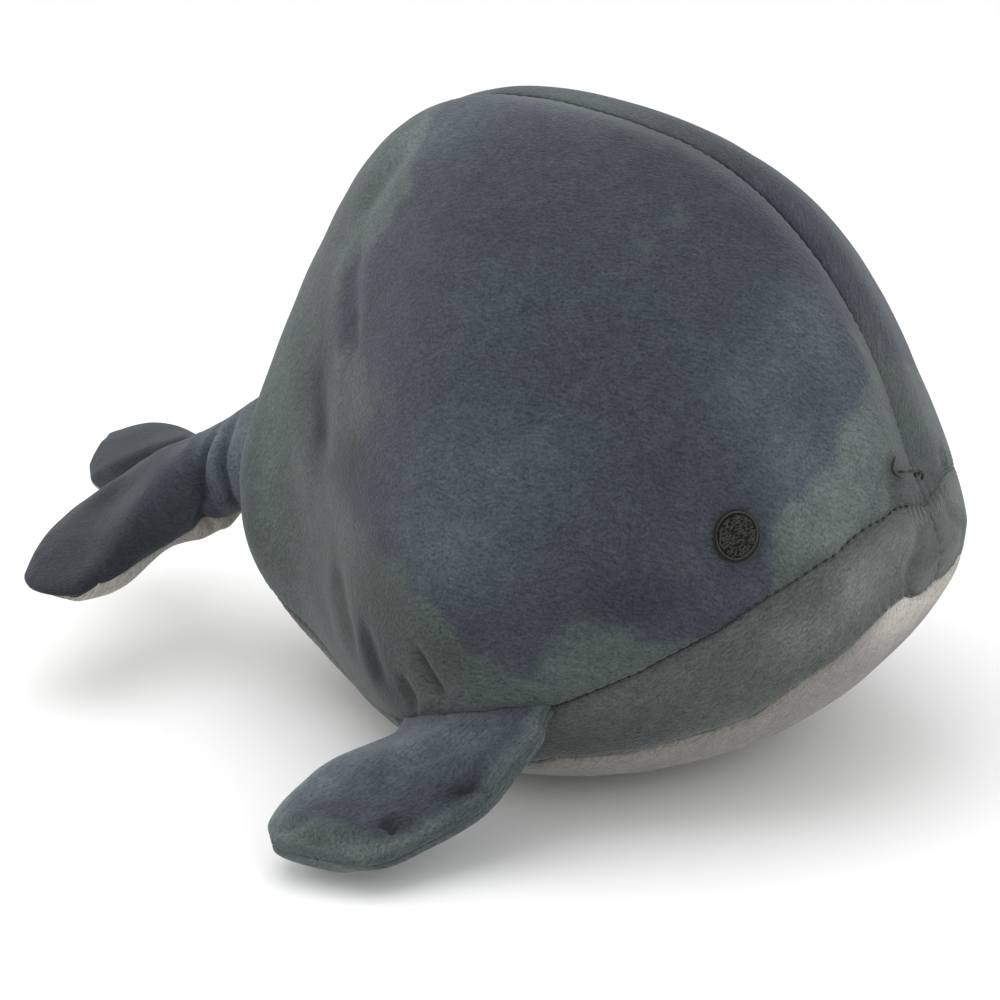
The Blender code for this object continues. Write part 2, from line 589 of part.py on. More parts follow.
def add_flipper(side, word):
    pivot = flipper_pivot(side, word)
    shares = np.concatenate([[0], np.linspace(0, FLIPPER_LAST_SHARE, FLIPPER_STATIONS)])
    turns = np.linspace(-QUARTER_TURN, QUARTER_TURN, FLIPPER_CELLS + 1)
    t, turn = np.meshgrid(shares, turns, indexing="ij")
    reach = np.sin(QUARTER_TURN * t)
    taper = np.cos(QUARTER_TURN * t)
    chord = FLIPPER_HALF_CHORD * taper ** FLIPPER_TIP_POWER * np.sin(turn)
    pitch = FLIPPER_TWIST * smooth_step(reach, 0, 1 / 2)
    forward = chord * np.cos(pitch) - FLIPPER_SWEEP * np.sin(QUARTER_TURN * reach) ** FLIPPER_SWEEP_POWER
    out = FLIPPER_LENGTH * reach - FLIPPER_ROOT_BOW * np.sin(turn) ** 2 * (1 - t) ** 2
    down = chord * np.sin(pitch) + FLIPPER_HANG * np.sin(math.pi * reach)
    swell = FLIPPER_ROOT_HALF_HEIGHT
    swell = swell + (FLIPPER_HALF_HEIGHT - swell) * smooth_step(reach, 0, 1 / 2)
    edge = EDGE_HALF_HEIGHT
    half = edge + (swell - edge) * np.cos(turn) ** PILLOW_POWER * np.sqrt(taper)
    # The root is rounded about the hinge line, so it turns clear of the body.
    out[0] -= FLIPPER_ROOT_HALF_HEIGHT
    half[0] = edge
    middle = np.stack([forward, side * out, -down], -1)
    normal = np.stack([np.sin(pitch), 0 * pitch, np.cos(pitch)], -1)
    names = ["flipper_%s_%s" % (word, what) for what in ("upper", "lower", "filling")]
    core = (slice(2, -1), slice(1, -1))
    pillow(names, middle, normal, half, (SLATE_PLUSH, SLATE_PLUSH, STUFFING), pivot, core)


# Assembly

for side, word in ((-1, "right"), (1, "left")):
    add_body_panels(side, word)
    add_eye(side, word)
    add_flipper(side, word)
add_belly_panel()
add_body_filling()
add_nose_thread()
ball_turn = Vector((0, 0, 1)).rotation_difference(STEM_AXIS).to_euler()
add_tail_root(empty_at("tail_root_ball", TAIL_ROOT, ball_turn))
add_tail(empty_at("tail_stem_root", TAIL_ROOT + STEM_AXIS * STEM_SETBACK, STEM_TURN.to_euler()))
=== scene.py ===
import itertools
import math

import bpy
import numpy as np
from mathutils import Matrix, Vector
from mathutils.kdtree import KDTree


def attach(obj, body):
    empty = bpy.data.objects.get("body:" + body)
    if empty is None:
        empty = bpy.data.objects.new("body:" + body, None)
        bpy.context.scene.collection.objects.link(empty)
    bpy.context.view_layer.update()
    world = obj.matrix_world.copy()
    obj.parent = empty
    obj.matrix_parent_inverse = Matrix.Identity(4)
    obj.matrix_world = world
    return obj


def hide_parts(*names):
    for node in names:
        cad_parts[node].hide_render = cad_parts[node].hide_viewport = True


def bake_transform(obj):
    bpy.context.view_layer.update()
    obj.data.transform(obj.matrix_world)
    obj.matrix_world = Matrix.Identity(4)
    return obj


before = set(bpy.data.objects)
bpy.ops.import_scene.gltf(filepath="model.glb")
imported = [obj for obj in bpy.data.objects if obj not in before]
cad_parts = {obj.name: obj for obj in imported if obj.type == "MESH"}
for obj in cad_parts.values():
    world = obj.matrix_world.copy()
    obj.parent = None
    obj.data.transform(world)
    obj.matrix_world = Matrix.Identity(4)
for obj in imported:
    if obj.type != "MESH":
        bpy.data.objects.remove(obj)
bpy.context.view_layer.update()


# Side panels
# Two large pieces of slate plush, cut alike, cover the back and the sides from the crown down to the
# mouth. They are sewn to each other over the back and down the face, and stuffing rounds them out.

SIDES = ((-1, "right"), (1, "left"))
BODY_LENGTH = 0.241
NOSE_REACH = 0.120
BODY_WIDTH = 0.229
BODY_CROWN = 0.131
BODY_DEPTH = 0.079
NOSE_DROP = 0.004
REST_CUT = 0.0005
NOSE_POWER = 0.89
REAR_POWER = 0.70
UPPER_POWER = 1.8
LOWER_POWER = 2.75
KNOT_STEP = 0.25
WIDTH_SHARES = (1.02, 0.82, 1.0, 0.63, 1.22)
CROWN_SHARES = (0.05, 0.84, 1.0, 1.04, 0.29)
DEPTH_SHARES = (0.58, 1.03, 1.0, 1.11, 1.0)
REST_OVAL = (0.045, 0.035)
CLOTH_THICKNESS = 0.0022
HALF_GAP = 0.00012
CROWN_TRIM = {-1: -0.5, 1: 0.25}
LAST_SHARE = 0.93
TAIL_ROOT_BACK = 0.119
SOCKET_RADIUS = 0.0231
MOUTH_SHARES = (0.083, 0.085, 0.095, 0.12, 0.16, 0.20, 0.27, 0.33, 0.40, 0.50, 0.54, 0.60, 0.68, 1.0)
MOUTH_DEG = (90.0, 84.0, 60.0, 31.0, 13.0, 4.5, -7.5, -13.5, -18.0, -21.0, -26.0, -36.0, -43.0, -46.0)
QUARTER_TURN = math.pi / 2
NOSE_START = 0.00001
BODY_ROWS = 250
STEEP_PLACES = (0.050, 0.066, 0.083, 0.098)
SIDE_COLUMNS = 150
REAR_ROWS = 9
LIP_ROWS = 3
LIP_STEP = 0.0022
REAR_ROLL = 0.0035

# The crown is fuller than its pattern, and the centre seam draws in between the two sides.
CROWN_PUFF = 0.0010
BROW_TUCK = 0.0013
CHIN_TUCK = 0.0024
VALLEY_DEPTH = 0.0030
VALLEY_WIDTH = 0.0100
SEAM_DEPTH = 0.0012
SEAM_WIDTH = 0.0024
PUCKER = 0.00028
PUCKER_PITCH = 0.0036

# The embroidery of the eye holds the cloth in.
EYE_SHARE = 0.259
EYE_RISE = math.radians(15.6)
EYE_DENT = 0.0009
EYE_DENT_REACH = 0.0088


def smooth_step(value, start, end):
    share = np.clip((value - start) / (end - start), 0, 1)
    return share * share * (3 - 2 * share)

def bell(value, middle, width):
    """1 at the middle, fading to nothing about two widths away."""
    return np.exp(-((value - middle) / width) ** 2)


def unit(vectors):
    return vectors / np.maximum(np.linalg.norm(vectors, axis=-1, keepdims=True), 1e-9)
def through_knots(shares, u):
    """Natural cubic curve through shares at evenly spaced knots."""
    count = len(shares)
    system, bend = np.eye(count), np.zeros(count)
    for k in range(1, count - 1):
        system[k, k - 1:k + 2] = (1, 4, 1)
        bend[k] = 6 * (shares[k - 1] - 2 * shares[k] + shares[k + 1]) / KNOT_STEP ** 2
    second = np.linalg.solve(system, bend)
    k = np.clip((u / KNOT_STEP).astype(int), 0, count - 2)
    left = u / KNOT_STEP - k
    right = 1 - left
    pull = (right ** 3 - right) * second[k] + (left ** 3 - left) * second[k + 1]
    return right * np.take(shares, k) + left * np.take(shares, k + 1) + pull * KNOT_STEP ** 2 / 6


def body_section(u):
    """Along, axis height, half width, crown and depth of the section at share u of the length."""
    u = np.asarray(u, float)
    swell = np.clip(np.sin(np.pi * u), 1e-9, 1)
    swell = np.where(u < 0.5, swell ** NOSE_POWER, swell ** REAR_POWER)
    run = (1 - np.cos(np.pi * u)) / 2
    half_width = BODY_WIDTH / 2 * swell * through_knots(WIDTH_SHARES, u)
    crown = BODY_CROWN * swell * through_knots(CROWN_SHARES, u)
    depth = BODY_DEPTH * swell * through_knots(DEPTH_SHARES, u)
    return NOSE_REACH - BODY_LENGTH * run, -NOSE_DROP * run, half_width, crown, depth


AXIS_HEIGHT = max(s[4] - s[1] for s in map(body_section, np.linspace(0, 1, 201))) - REST_CUT


def body_form(u, rise, side):
    """The stuffed body before seams and folds. rise is the angle above the level of its axis."""
    along, axis, half_width, crown, depth = body_section(u)
    upper = np.sin(rise) >= 0
    height = np.where(upper, crown, depth)
    power = np.where(upper, UPPER_POWER, LOWER_POWER)
    across = (np.abs(np.cos(rise)) / half_width) ** power
    reach = (across + (np.abs(np.sin(rise)) / height) ** power) ** (-1 / power)
    parts = (along + 0 * reach, side * reach * np.cos(rise), axis + AXIS_HEIGHT + reach * np.sin(rise))
    return np.stack(np.broadcast_arrays(*parts), -1)


def outward(u, rise, side):
    """Unit normal of the body's form."""
    small = 1e-3
    first, last = np.clip(u - small, small, 1 - small), np.clip(u + small, small, 1 - small)
    along = body_form(last, rise, side) - body_form(first, rise, side)
    around = body_form(u, rise + small, side) - body_form(u, rise - small, side)
    normal = np.cross(around, along) * -side
    return normal / np.linalg.norm(normal, axis=-1, keepdims=True)


def lumps(points, size, seed):
    """Smooth random unevenness of about this size, from -1 to 1."""
    lattice = points / size + 0.37 * seed
    base = np.floor(lattice).astype(np.int64)
    part = lattice - base
    part = part * part * (3 - 2 * part)
    total = np.zeros(points.shape[:-1])
    for corner in itertools.product((0, 1), repeat=3):
        key = base + corner
        mixed = key[..., 0] * 73856093 ^ key[..., 1] * 19349663 ^ key[..., 2] * 83492791 ^ seed * 2654435
        mixed = (mixed ^ mixed >> 13) * 1274126177 & 0x7FFFFFFF
        value = (mixed >> 8 & 0xFFFF) / 32767.5 - 1
        total += value * np.prod(np.where(corner, part, 1 - part), axis=-1)
    return total


def nearest(points, line):
    """Distance from each point to a dense line, and the index of the line's nearest point."""
    tree = KDTree(len(line))
    for k, place in enumerate(line):
        tree.insert(place, k)
    tree.balance()
    found = [tree.find(p)[1:] for p in points.reshape(-1, 3)]
    index, distance = np.array(found).T
    return distance.reshape(points.shape[:-1]), index.astype(int).reshape(points.shape[:-1])

def length_along(line):
    return np.concatenate([[0], np.cumsum(np.linalg.norm(np.diff(line, axis=0), axis=1))])


def points_at(line, along, at):
    return np.stack([np.interp(at, along, line[:, k]) for k in range(3)], -1)


def resampled(line, step):
    along = length_along(line)
    return points_at(line, along, np.arange(0, along[-1], step))


SEAM_STEP = 0.0005


def seam_pull(points, line, depth, width, seed):
    """How far a seam draws the cloth in, with puckers across it, and the distance to the seam.
    It is shallower at the snout and on top of the crown."""
    depth = depth * (0.25 + 0.75 * smooth_step(-points[..., 0], -0.104, -0.070))
    depth = depth * (1 - 0.55 * smooth_step(points[..., 2], 0.188, 0.203))
    line = resampled(line, SEAM_STEP)
    distance, index = nearest(points, line)
    place = line[index]
    wave = np.sin(index * SEAM_STEP / PUCKER_PITCH * 2 * math.pi + 2.5 * lumps(place, 0.009, seed))
    wave = wave * (0.6 + 0.4 * lumps(place, 0.014, seed + 1))
    dip = depth * (0.55 * bell(distance, 0, width) + 0.45 * bell(distance, 0, 0.4 * width))
    return dip + PUCKER * wave * bell(distance, 0, 2.0 * width), distance


def fold_push(points, normals, path, depth, width, lip, reach, side=-1):
    """A soft fold along a path: a groove, and a raised lip on its right seen from outside on the right
    side of the toy. It fades over reach at its ends."""
    line = resampled(path, SEAM_STEP)
    tangent = unit(np.gradient(line, axis=0))
    distance, index = nearest(points, line)
    across = (np.cross(tangent[index], normals) * (points - line[index])).sum(-1) * side
    past = np.sqrt(np.maximum(distance ** 2 - across ** 2, 0))
    share = index / (len(line) - 1)
    strength = bell(past, 0, reach) * smooth_step(np.minimum(share, 1 - share), -0.05, 0.3)
    return strength * (lip * bell(across, -1.9 * width, 1.5 * width) - depth * bell(across, 0, width))
def on_body(path, side):
    """Points of the body's form under a path of (share of length, degrees of rise)."""
    u, rise = np.array(path, float).T
    dense = np.linspace(0, 1, 60)
    at = np.linspace(0, 1, len(u))
    return body_form(np.interp(dense, at, u), np.radians(np.interp(dense, at, rise)), side)


def mouth_rise(u):
    return np.radians(np.interp(u, MOUTH_SHARES, MOUTH_DEG))


def seam_line(rise_at, start, side):
    u = np.linspace(start, LAST_SHARE, 400)
    return body_form(u, rise_at(u), side)


def crown_rise(u):
    return np.full(np.shape(u), QUARTER_TURN)


# Folds of the stuffed cloth as (share of length, rise), then depth, width, lip and fade.
SIDE_FOLDS = (
    (((0.640, 76.5), (0.660, 73.0), (0.676, 70.0), (0.688, 66.0)), 0.0014, 0.0065, 0.0008, 0.014),
    (((0.672, 64.0), (0.664, 56.0), (0.650, 49.0), (0.634, 42.5)), 0.0010, 0.0048, 0.0007, 0.012),
    (((0.650, 48.0), (0.640, 43.5), (0.628, 39.0)), 0.0008, 0.0042, 0.0003, 0.010),
    (((0.722, 46.0), (0.706, 35.0), (0.686, 26.0), (0.660, 16.0)), 0.0016, 0.0090, 0.0010, 0.020),
    (((0.508, -7.0), (0.498, -10.5), (0.487, -13.5), (0.473, -16.5)), 0.0023, 0.0022, 0.0003, 0.005),
    (((0.528, -14.0), (0.516, -17.0), (0.503, -19.5)), 0.0015, 0.0024, 0.0002, 0.005),
    (((0.440, -8.0), (0.434, -12.0), (0.430, -17.0)), 0.0010, 0.0036, 0.0006, 0.007),
    (((0.585, -9.0), (0.568, -14.0), (0.550, -20.0)), 0.0014, 0.0050, 0.0006, 0.010),
    (((0.640, -2.0), (0.622, -12.0), (0.600, -22.0)), 0.0014, 0.0070, 0.0008, 0.016),
    (((0.470, 60.0), (0.440, 52.0), (0.425, 44.0)), 0.0005, 0.0080, 0.0004, 0.014),
    (((0.135, 54.0), (0.122, 48.5), (0.110, 44.0)), 0.0009, 0.0030, 0.0004, 0.006),
)
FLIPPER_PLACE = (0.4715, -20.3)

# The body's cloth rolls a little over the top of the flipper's root, and is pinched along this line.
ROOT_LINE = ((0.398, -18.2), (0.425, -17.2), (0.465, -18.0), (0.497, -20.2), (0.540, -26.6), (0.565, -30.0))
ROOT_ROLL = [(share, rise + 2.4) for share, rise in ROOT_LINE]
ROOT_ROLL_HEIGHT = 0.0024
ROOT_ROLL_WIDTH = 0.0036
ROOT_PINCH = 0.0020
ROOT_PINCH_WIDTH = 0.0015


def body_cloth(u, rise, side, seams, folds):
    """Points of the cloth, its distance to the nearest seam, and how far folds move it out."""
    place = body_form(u, rise, side)
    normal = outward(u, rise, side)
    deg = np.degrees(rise)
    valley = smooth_step(place[..., 2], 0.082, 0.118) * smooth_step(place[..., 0], -0.115, -0.085)
    valley = valley * bell(place[..., 1], 0, VALLEY_WIDTH)
    puff = smooth_step(deg, 25, 75) * np.sin(np.pi * np.clip(u, 0, 1)) ** 2
    brow = bell(u, 0.41, 0.11) * smooth_step(deg, 20, 70)
    chin = bell(u, 0.28, 0.14) * smooth_step(-deg, 25, 45)
    push = CROWN_PUFF * puff - BROW_TUCK * brow - CHIN_TUCK * chin - VALLEY_DEPTH * valley
    push = push + 0.0006 * lumps(place, 0.034, 3) + 0.00022 * lumps(place, 0.011, 4)
    from_eye = np.linalg.norm(place - body_form(EYE_SHARE, EYE_RISE, side), axis=-1)
    push = push - EYE_DENT * np.exp(-(from_eye / EYE_DENT_REACH) ** 4)
    near = np.full(push.shape, 1.0)
    for k, (line, depth, width) in enumerate(seams):
        dip, distance = seam_pull(place, line, depth, width, 11 + k)
        push = push - dip
        near = np.minimum(near, distance)
    folded = sum(
        (fold_push(place, normal, on_body(path, side), *shape, side) for path, *shape in folds), 0 * push)
    push = push + folded + fold_push(
        place, normal, on_body(ROOT_ROLL, side), -ROOT_ROLL_HEIGHT, ROOT_ROLL_WIDTH, 0, ROOT_ROLL_WIDTH, side)
    pinch, _ = nearest(place, resampled(on_body(ROOT_LINE, side), SEAM_STEP))
    push = push - ROOT_PINCH * bell(pinch, 0, ROOT_PINCH_WIDTH)
    # The seam's painted shade is also laid along the root line, as the shadow under the roll.
    near = np.minimum(near, 0.45 * pinch)
    place = place + normal * push[..., None]
    oval = np.hypot(place[..., 0] / REST_OVAL[0], place[..., 1] / REST_OVAL[1])
    loose = np.where(place[..., 2] < AXIS_HEIGHT, smooth_step(oval, 0.6, 1), 1)
    place[..., 2] = np.maximum(place[..., 2], 0) * loose
    return place, near, folded


def panel_rows(start):
    """Rows of a panel, the same for all panels, and closer together where a seam runs steeply."""
    rows = np.sort(np.concatenate([
        np.linspace(NOSE_START, LAST_SHARE, BODY_ROWS), np.linspace(*STEEP_PLACES[:2], 25),
        np.linspace(*STEEP_PLACES[2:], 21)]))
    return np.concatenate([[start], rows[rows > start + 0.0002]])


def panel_cloth(start, low_at, high_at, columns, side, seams, folds, trim=(1, 1)):
    """Grid of a body panel between two seams, closed round the tail root."""
    shares = np.linspace(0, 1, columns)
    rows = panel_rows(start)
    u = rows[:, None] + 0 * shares
    low, high = low_at(rows)[:, None], high_at(rows)[:, None]
    rise = low + (high - low) * shares
    form = body_form(u, rise, side)
    radius = np.maximum(np.hypot(form[..., 1], form[..., 2] - AXIS_HEIGHT), 0.004)
    rise = rise + HALF_GAP / radius * (trim[0] * (1 - shares) - trim[1] * shares)
    place, near, folded = body_cloth(u, rise, side, seams, folds)

    # The last rows close over the rear to the rim round the tail root, and turn in there as a lip.
    rim = np.stack([
        np.full(columns, -TAIL_ROOT_BACK),
        side * SOCKET_RADIUS * np.cos(rise[-1]),
        AXIS_HEIGHT - NOSE_DROP + SOCKET_RADIUS * np.sin(rise[-1])], -1)
    share = np.minimum(np.arange(1, REAR_ROWS + LIP_ROWS + 1) / REAR_ROWS, 1)[:, None]
    closing = place[-1] + (rim - place[-1]) * share[..., None]
    closing[..., 0] += REAR_ROLL * share ** 3
    closing[REAR_ROWS:, :, 0] += LIP_STEP * np.arange(1, LIP_ROWS + 1)[:, None]
    rest = [np.concatenate([v, np.repeat(v[-1:], len(closing), axis=0)]) for v in (near, folded, u, rise)]
    return np.concatenate([place, closing]), *rest
# The pile lies smooth and bluish over the middle of each side, and is brushed up lighter and greener
# round it. This is the border of the smooth part, as (share of length, rise).
SMOOTH_BORDER = np.array([
    (0.600, 95), (0.630, 84), (0.622, 74), (0.618, 66), (0.604, 59), (0.670, 60), (0.690, 55), (0.678, 48),
    (0.636, 41), (0.600, 33), (0.570, 27), (0.612, 21), (0.637, 12), (0.590, 8), (0.525, 4), (0.492, 0),
    (0.454, -5), (0.430, -9), (0.409, -11), (0.398, -7), (0.387, -4), (0.365, -1), (0.345, -3), (0.331, -7),
    (0.300, -9), (0.274, -8), (0.245, -4), (0.231, -1), (0.224, 8), (0.226, 19), (0.212, 29), (0.204, 40),
    (0.197, 52), (0.188, 66), (0.196, 78), (0.222, 83), (0.240, 95)])

# Small places off that border where the pile is brushed up (+) or lies smooth (-).
NAP_SPOTS = (
    (0.52, 88, 0.07, 3.5, 0.9), (0.376, 70.3, 0.009, 2.4, 0.6), (0.387, 62.4, 0.010, 2.8, 0.5),
    (0.463, 54, 0.006, 2.2, 0.5), (0.415, 27, 0.006, 2.2, 0.4), (0.705, 38, 0.010, 6, -1.1),
    (0.688, 27, 0.012, 6, -1.1), (0.30, 8, 0.010, 2.5, 0.3), (0.56, 30, 0.012, 3, 0.3))
PER_SHARE = 0.33
PER_DEGREE = 0.0020


def flat_distance(u, rise, border):
    """Distance in metres inside (+) or outside (-) a border, with the body's surface laid flat."""
    points = np.stack([u * PER_SHARE, np.degrees(rise) * PER_DEGREE], -1)
    corners = border * (PER_SHARE, PER_DEGREE)
    best = np.full(u.shape, 1.0)
    inside = np.zeros(u.shape, bool)
    for a, b in zip(corners, np.roll(corners, -1, axis=0)):
        edge = b - a
        share = np.clip(((points - a) @ edge) / (edge @ edge), 0, 1)
        best = np.minimum(best, np.linalg.norm(points - a - share[..., None] * edge, axis=-1))
        crosses = (points[..., 1] < a[1]) != (points[..., 1] < b[1])
        level = a[0] + (points[..., 1] - a[1]) * edge[0] / (edge[1] if edge[1] else 1e-9)
        inside ^= crosses & (points[..., 0] < level)
    return np.where(inside, best, -best)


def brushed(place, u, rise, seed):
    """How far the pile is brushed up: 0 in the smooth bluish part, 1 in the lighter, greener part."""
    distance = flat_distance(u, rise, SMOOTH_BORDER)
    ragged = 0.0060 * lumps(place, 0.020, seed) + 0.0035 * lumps(place, 0.007, seed + 1)
    nap = 1 - smooth_step(distance + ragged, -0.0035, 0.0035)
    return np.clip(nap + catch_light(u, rise, NAP_SPOTS) - 1, 0, 1)


def fill(tree, node, values):
    """Sets a node's settings and inputs by name or place, and links the inputs given as sockets."""
    for key, value in values.items():
        if isinstance(key, str) and hasattr(node, key):
            setattr(node, key, value)
            continue
        place = node.inputs[key.replace("_", " ") if isinstance(key, str) else key]
        if isinstance(value, bpy.types.NodeSocket):
            tree.links.new(value, place)
        else:
            place.default_value = value


def socket(tree, kind, output, by_place=(), **by_name):
    """Adds a shader node, fills its inputs and returns one of its outputs."""
    node = tree.nodes.new("ShaderNode" + kind)
    fill(tree, node, {**by_name, **dict(by_place)})
    return node.outputs[output]


def blended(tree, kind, factor, first, second):
    """Colour mix of two sockets or colours by a factor socket or number."""
    return socket(tree, "Mix", 2, ((0, factor), (6, first), (7, second)), data_type="RGBA", blend_type=kind)


def sum_of(tree, kind, *numbers):
    """Number made from sockets or plain numbers."""
    return socket(tree, "Math", 0, enumerate(numbers), operation=kind)


def new_material(name):
    material = bpy.data.materials.new(name)
    material.use_nodes = True
    return material, material.node_tree


def surface(tree, **values):
    fill(tree, tree.nodes["Principled BSDF"], values)


def plush(name, smooth_colour, brushed_colour, shade_colour, sheen, sheen_tint):
    """Short-pile plush. The mesh says where the pile is brushed up, and carries painted light and shade,
    darkest where the pile is pinched in a seam.
    """
    material, tree = new_material(name)
    nap, painted_light_and_mottle = (socket(tree, "Attribute", "Fac", attribute_name=key) for key in ("nap", "painted_light_and_mottle"))
    lay = socket(tree, "Attribute", "Vector", attribute_name="lay")

    # The pile leans in swirls, so the fibre pattern is bent by a broad slow noise.
    swirl = socket(tree, "TexNoise", "Color", Vector=lay, Scale=42.0, Detail=2.0)
    swirled = enumerate((swirl, (0.010, 0.010, 0.010), lay))
    bend = socket(tree, "VectorMath", "Vector", swirled, operation="MULTIPLY_ADD")
    stretch = socket(tree, "Mapping", "Vector", Vector=bend, Scale=(430.0, 1050.0, 700.0))
    fibre = socket(tree, "TexNoise", "Fac", Vector=stretch, Scale=1.0, Detail=3.0, Roughness=0.62)
    speck = socket(tree, "TexNoise", "Fac", Vector=lay, Scale=1150.0, Detail=2.0, Roughness=0.6)
    tuft = socket(tree, "TexNoise", "Fac", Vector=bend, Scale=170.0, Detail=3.0, Roughness=0.6)
    cloud = socket(tree, "TexNoise", "Fac", Vector=lay, Scale=30.0, Detail=3.0, Roughness=0.55)

    # Brushed-up pile shows the lighter, greener colour. Fibres and tufts shade it.
    lean = sum_of(tree, "MULTIPLY_ADD", tuft, 0.34, nap)
    lean = sum_of(tree, "MULTIPLY_ADD", cloud, 0.30, lean)
    level = socket(tree, "Clamp", "Result", Value=sum_of(tree, "SUBTRACT", lean, 0.32))
    colour = blended(tree, "MIX", level, (*smooth_colour, 1), (*brushed_colour, 1))
    mixed = sum_of(tree, "MULTIPLY_ADD", speck, 1.1, fibre)
    grain = socket(
        tree, "MapRange", "Result", Value=mixed, From_Min=0.70, From_Max=1.40, To_Min=0.55, To_Max=1.45)
    patch = socket(
        tree, "MapRange", "Result", Value=tuft, From_Min=0.25, From_Max=0.75, To_Min=0.88, To_Max=1.12)
    # The painted light and shade, with some random mottle, scale the colour.
    shade = sum_of(tree, "MULTIPLY", sum_of(tree, "MULTIPLY", grain, patch), painted_light_and_mottle)
    grey = socket(tree, "CombineColor", "Color", enumerate([shade] * 3))
    colour = blended(tree, "MULTIPLY", 1.0, colour, grey)
    # Where the painted shade is deepest, the colour turns to the shade colour.
    pinch = socket(
        tree, "MapRange", "Result", Value=painted_light_and_mottle, From_Min=0.52, From_Max=0.20, To_Min=0.0, To_Max=0.8)
    colour = blended(tree, "MIX", pinch, colour, (*shade_colour, 1))
    rough = socket(tree, "MapRange", "Result", Value=fibre, To_Min=0.80, To_Max=1.0)
    height = sum_of(tree, "MULTIPLY_ADD", tuft, 0.8, mixed)
    bump = socket(tree, "Bump", "Normal", Height=height, Strength=0.55, Distance=0.0006)
    surface(
        tree, Base_Color=colour, Roughness=rough, Normal=bump, Specular_IOR_Level=0.08,
        Sheen_Weight=sheen, Sheen_Roughness=0.42, Sheen_Tint=(*sheen_tint, 1))
    return material


def grid_faces(rows, columns, closed=False):
    """Quads over a grid of points, closed round its columns where asked."""
    index = np.arange(rows * columns).reshape(rows, columns)
    after = np.roll(index, -1, axis=1)
    quads = np.stack([index[:-1], after[:-1], after[1:], index[1:]], -1)
    return (quads if closed else quads[:, :-1]).reshape(-1, 4)


def new_mesh(name, points, faces, material):
    mesh = bpy.data.meshes.new(name)
    mesh.from_pydata(points, [], faces)
    mesh.shade_smooth()
    mesh.materials.append(material)
    return mesh


def in_scene(name, data):
    """Puts a mesh, lamp or camera into the scene."""
    made = bpy.data.objects.new(name, data)
    bpy.context.scene.collection.objects.link(made)
    return made


def cloth_piece(name, place, nap, painted_light_and_mottle, material, thickness=CLOTH_THICKNESS, flip=False):
    """Mesh of a grid of points, with the pile's state, its painted light and shade, and its laid-flat
    coordinates stored on it.
    """
    quads = grid_faces(*place.shape[:2])
    if flip:
        quads = quads[:, ::-1]
    mesh = new_mesh(name, place.reshape(-1, 3).tolist(), quads.tolist(), material)
    along = np.linalg.norm(np.diff(place, axis=0), axis=-1)
    around = np.linalg.norm(np.diff(place, axis=1), axis=-1)
    lay = np.zeros(place.shape)
    lay[1:, :, 0] = np.cumsum(along.mean(axis=1))[:, None]
    lay[:, 1:, 1] = np.cumsum(around, axis=1)
    lay[..., 1] -= lay[:, -1:, 1] / 2
    for key, kind, field, value in (
            ("nap", "FLOAT", "value", nap), ("painted_light_and_mottle", "FLOAT", "value", painted_light_and_mottle),
            ("lay", "FLOAT_VECTOR", "vector", lay)):
        mesh.attributes.new(key, kind, "POINT").data.foreach_set(field, value.ravel().astype(np.float32))
    extent = float(max(lay[..., 0].max(), np.ptp(lay[..., 1]))) * 1.02
    flat = (lay[..., :2] - lay[..., :2].min(axis=(0, 1))) / extent + 0.005
    uv = flat.reshape(-1, 2)[quads.ravel()]
    mesh.uv_layers.new(name="OFBake").data.foreach_set("uv", uv.ravel().astype(np.float32))
    made = in_scene(name, mesh)
    if thickness:
        thick = made.modifiers.new("cloth", "SOLIDIFY")
        thick.thickness = thickness
        thick.offset = -1
    return made


def seam_shade(near, place):
    """Painted shade, darker where a seam pinches the pile, broken by fibres that cross it."""
    crossed = np.clip(0.55 + 0.75 * lumps(place, 0.0030, 91), 0.05, 1)
    crossed = crossed * (0.25 + 0.75 * smooth_step(-place[..., 0], -0.106, -0.075))
    return 1 - 0.55 * crossed * bell(near, 0, 0.0008) - 0.08 * bell(near, 0, 0.0032)


def fold_shadow(folded):
    """Darker in the grooves of the folds."""
    return 1 - 0.42 * smooth_step(-folded, 0.0003, 0.0028)
SLATE_SMOOTH = (0.0374, 0.0440, 0.0532)
SLATE_BRUSHED = (0.0583, 0.0718, 0.0682)
# The third colour of each plush is painted shade, for the deepest seams and folds.
SLATE_SHADE = (0.017, 0.020, 0.022)
slate = plush("slate plush", SLATE_SMOOTH, SLATE_BRUSHED, SLATE_SHADE, 0.23, (0.80, 0.84, 0.86))

